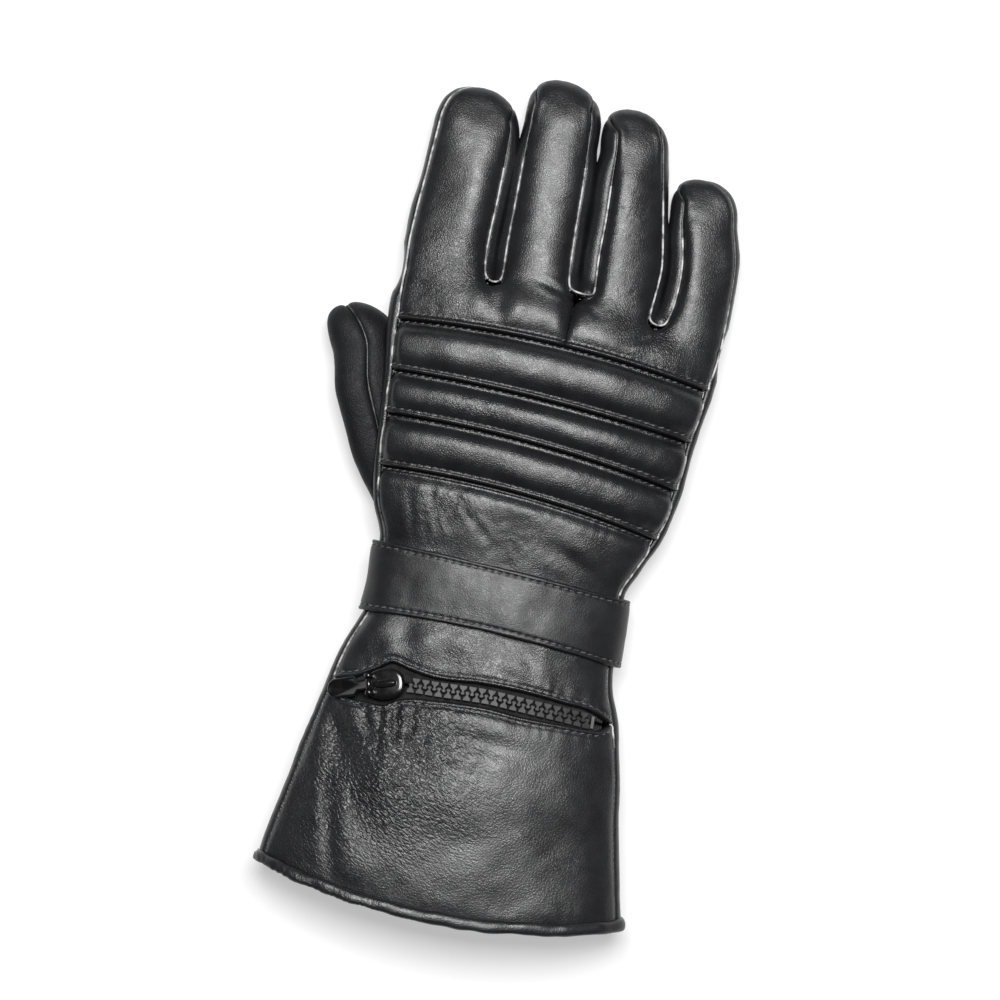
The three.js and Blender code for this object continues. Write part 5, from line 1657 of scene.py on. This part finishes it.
def circle(radius, count=20):
    angle = 2 * math.pi * np.arange(count) / count
    return np.stack((radius * np.cos(angle), radius * np.sin(angle)), axis=1)


# Lays a body that was drawn in x and y on its side, so that its height runs along y
def onSide(body, place):
    points, faces = body
    return np.stack((points[:, 0], -points[:, 2], points[:, 1]), axis=1) + np.array(place), faces


# Points on an arc round a place on the x axis
def arc(x, radius, start, end, steps):
    return [(x + radius * math.cos(a), radius * math.sin(a)) for a in np.linspace(start, end, steps)]


# The slider: a domed plate with a raised bridge and two ears that hold the pull tab
def addSlider(turn, origin, hingeHeight):
    length, width, waist = slider["length"], slider["width"], slider["waist"]
    crown, bridgeCrown = (
        [(inset, slider["thickness"] + rise) for inset, rise in slider[name]]
        for name in ("crown", "bridgeCrown")
    )
    upper = [
        (length / 2, waist / 2), (length / 6, width / 2), (-length / 6, width / 2), (-length / 2, waist / 2),
    ]
    lower = [(x, -y) for x, y in reversed(upper)]
    plate = extruded(roundedOutline(lower[-1:] + upper + lower[:-1]), list(slider["foot"]) + crown)
    bridge = extruded(roundedOutline(slider["bridge"], 2), bridgeCrown)
    foot = slider["thickness"] / 2 - hingeHeight
    earSide = [(-hinge["earLength"] / 2, foot), (hinge["earLength"] / 2, foot)]
    edge, bevel, thick = hinge["bevel"], hinge["earBevel"], hinge["earWidth"]
    earLevels = ((edge, 0), (0, bevel), (0, thick - bevel), (edge, thick))
    earOffset = hinge["width"] / 2 + hinge["earGap"]
    ear = extruded(earSide + arc(0, hinge["earCrown"], 0, math.pi, hinge["earSteps"]), earLevels)
    ears = [
        onSide(ear, (hinge["along"], near + thick, hingeHeight)) for near in (earOffset, -earOffset - thick)
    ]
    points, faces = joinedBodies([plate, bridge] + ears)
    dressed("zip_slider", points @ turn.T + origin, faces, enamel, ("zip_slider",))


# The pull tab: a flat blade on a barrel, leaning down so that its end lies on the leather
def addPullTab(turn, origin, hingeHeight):
    hx, hy = slider["heading"]
    endSpot = onBack(slider["x"] + hx * tab["restsAt"], slider["y"] + hy * tab["restsAt"], tab["clearance"])
    endLocal = (endSpot - origin) @ turn
    lean = math.atan2(hingeHeight - endLocal[2], endLocal[0] - hinge["along"])
    halfWidth, halfNeck = tab["width"] / 2, tab["neckWidth"] / 2
    side = [(0, halfNeck), (tab["neck"], halfNeck), (tab["neck"] + tab["shoulder"], halfWidth)]
    nose = arc(tab["reach"] - halfWidth, halfWidth, -math.pi / 2, math.pi / 2, tab["noseSteps"])
    outline = [(x, -y) for x, y in side] + nose + side[::-1]
    half, bevel, rim = tab["half"], tab["bevel"], tab["rim"]
    blade = extruded(outline, (
        (bevel, -half), (0, -half + bevel), (0, half - bevel), (bevel, half), (rim, half),
        (rim + bevel, half - bevel),
    ))
    width, edge = hinge["width"], hinge["bevel"]
    barrelLevels = ((edge, 0), (0, edge), (0, width - edge), (edge, width))
    barrel = onSide(extruded(circle(hinge["radius"]), barrelLevels), (0, width / 2, 0))
    points, faces = joinedBodies([blade, barrel])
    cosine, sine = math.cos(lean), math.sin(lean)
    points = points @ np.array(((cosine, 0, -sine), (0, 1, 0), (sine, 0, cosine)))
    points = (points + (hinge["along"], 0, hingeHeight)) @ turn.T + origin
    dressed("pull_tab", points, faces, enamel, ("pull_tab",), body="zip_tab")


def addSliderAndTab():
    turn, origin = sliderFrame()
    hingeHeight = slider["thickness"] + hinge["lift"]
    addSlider(turn, origin, hingeHeight)
    addPullTab(turn, origin, hingeHeight)


addTapes()
addTeeth()
addSliderAndTab()
print("zip made")

bpy.context.scene.view_settings.view_transform = "Standard"
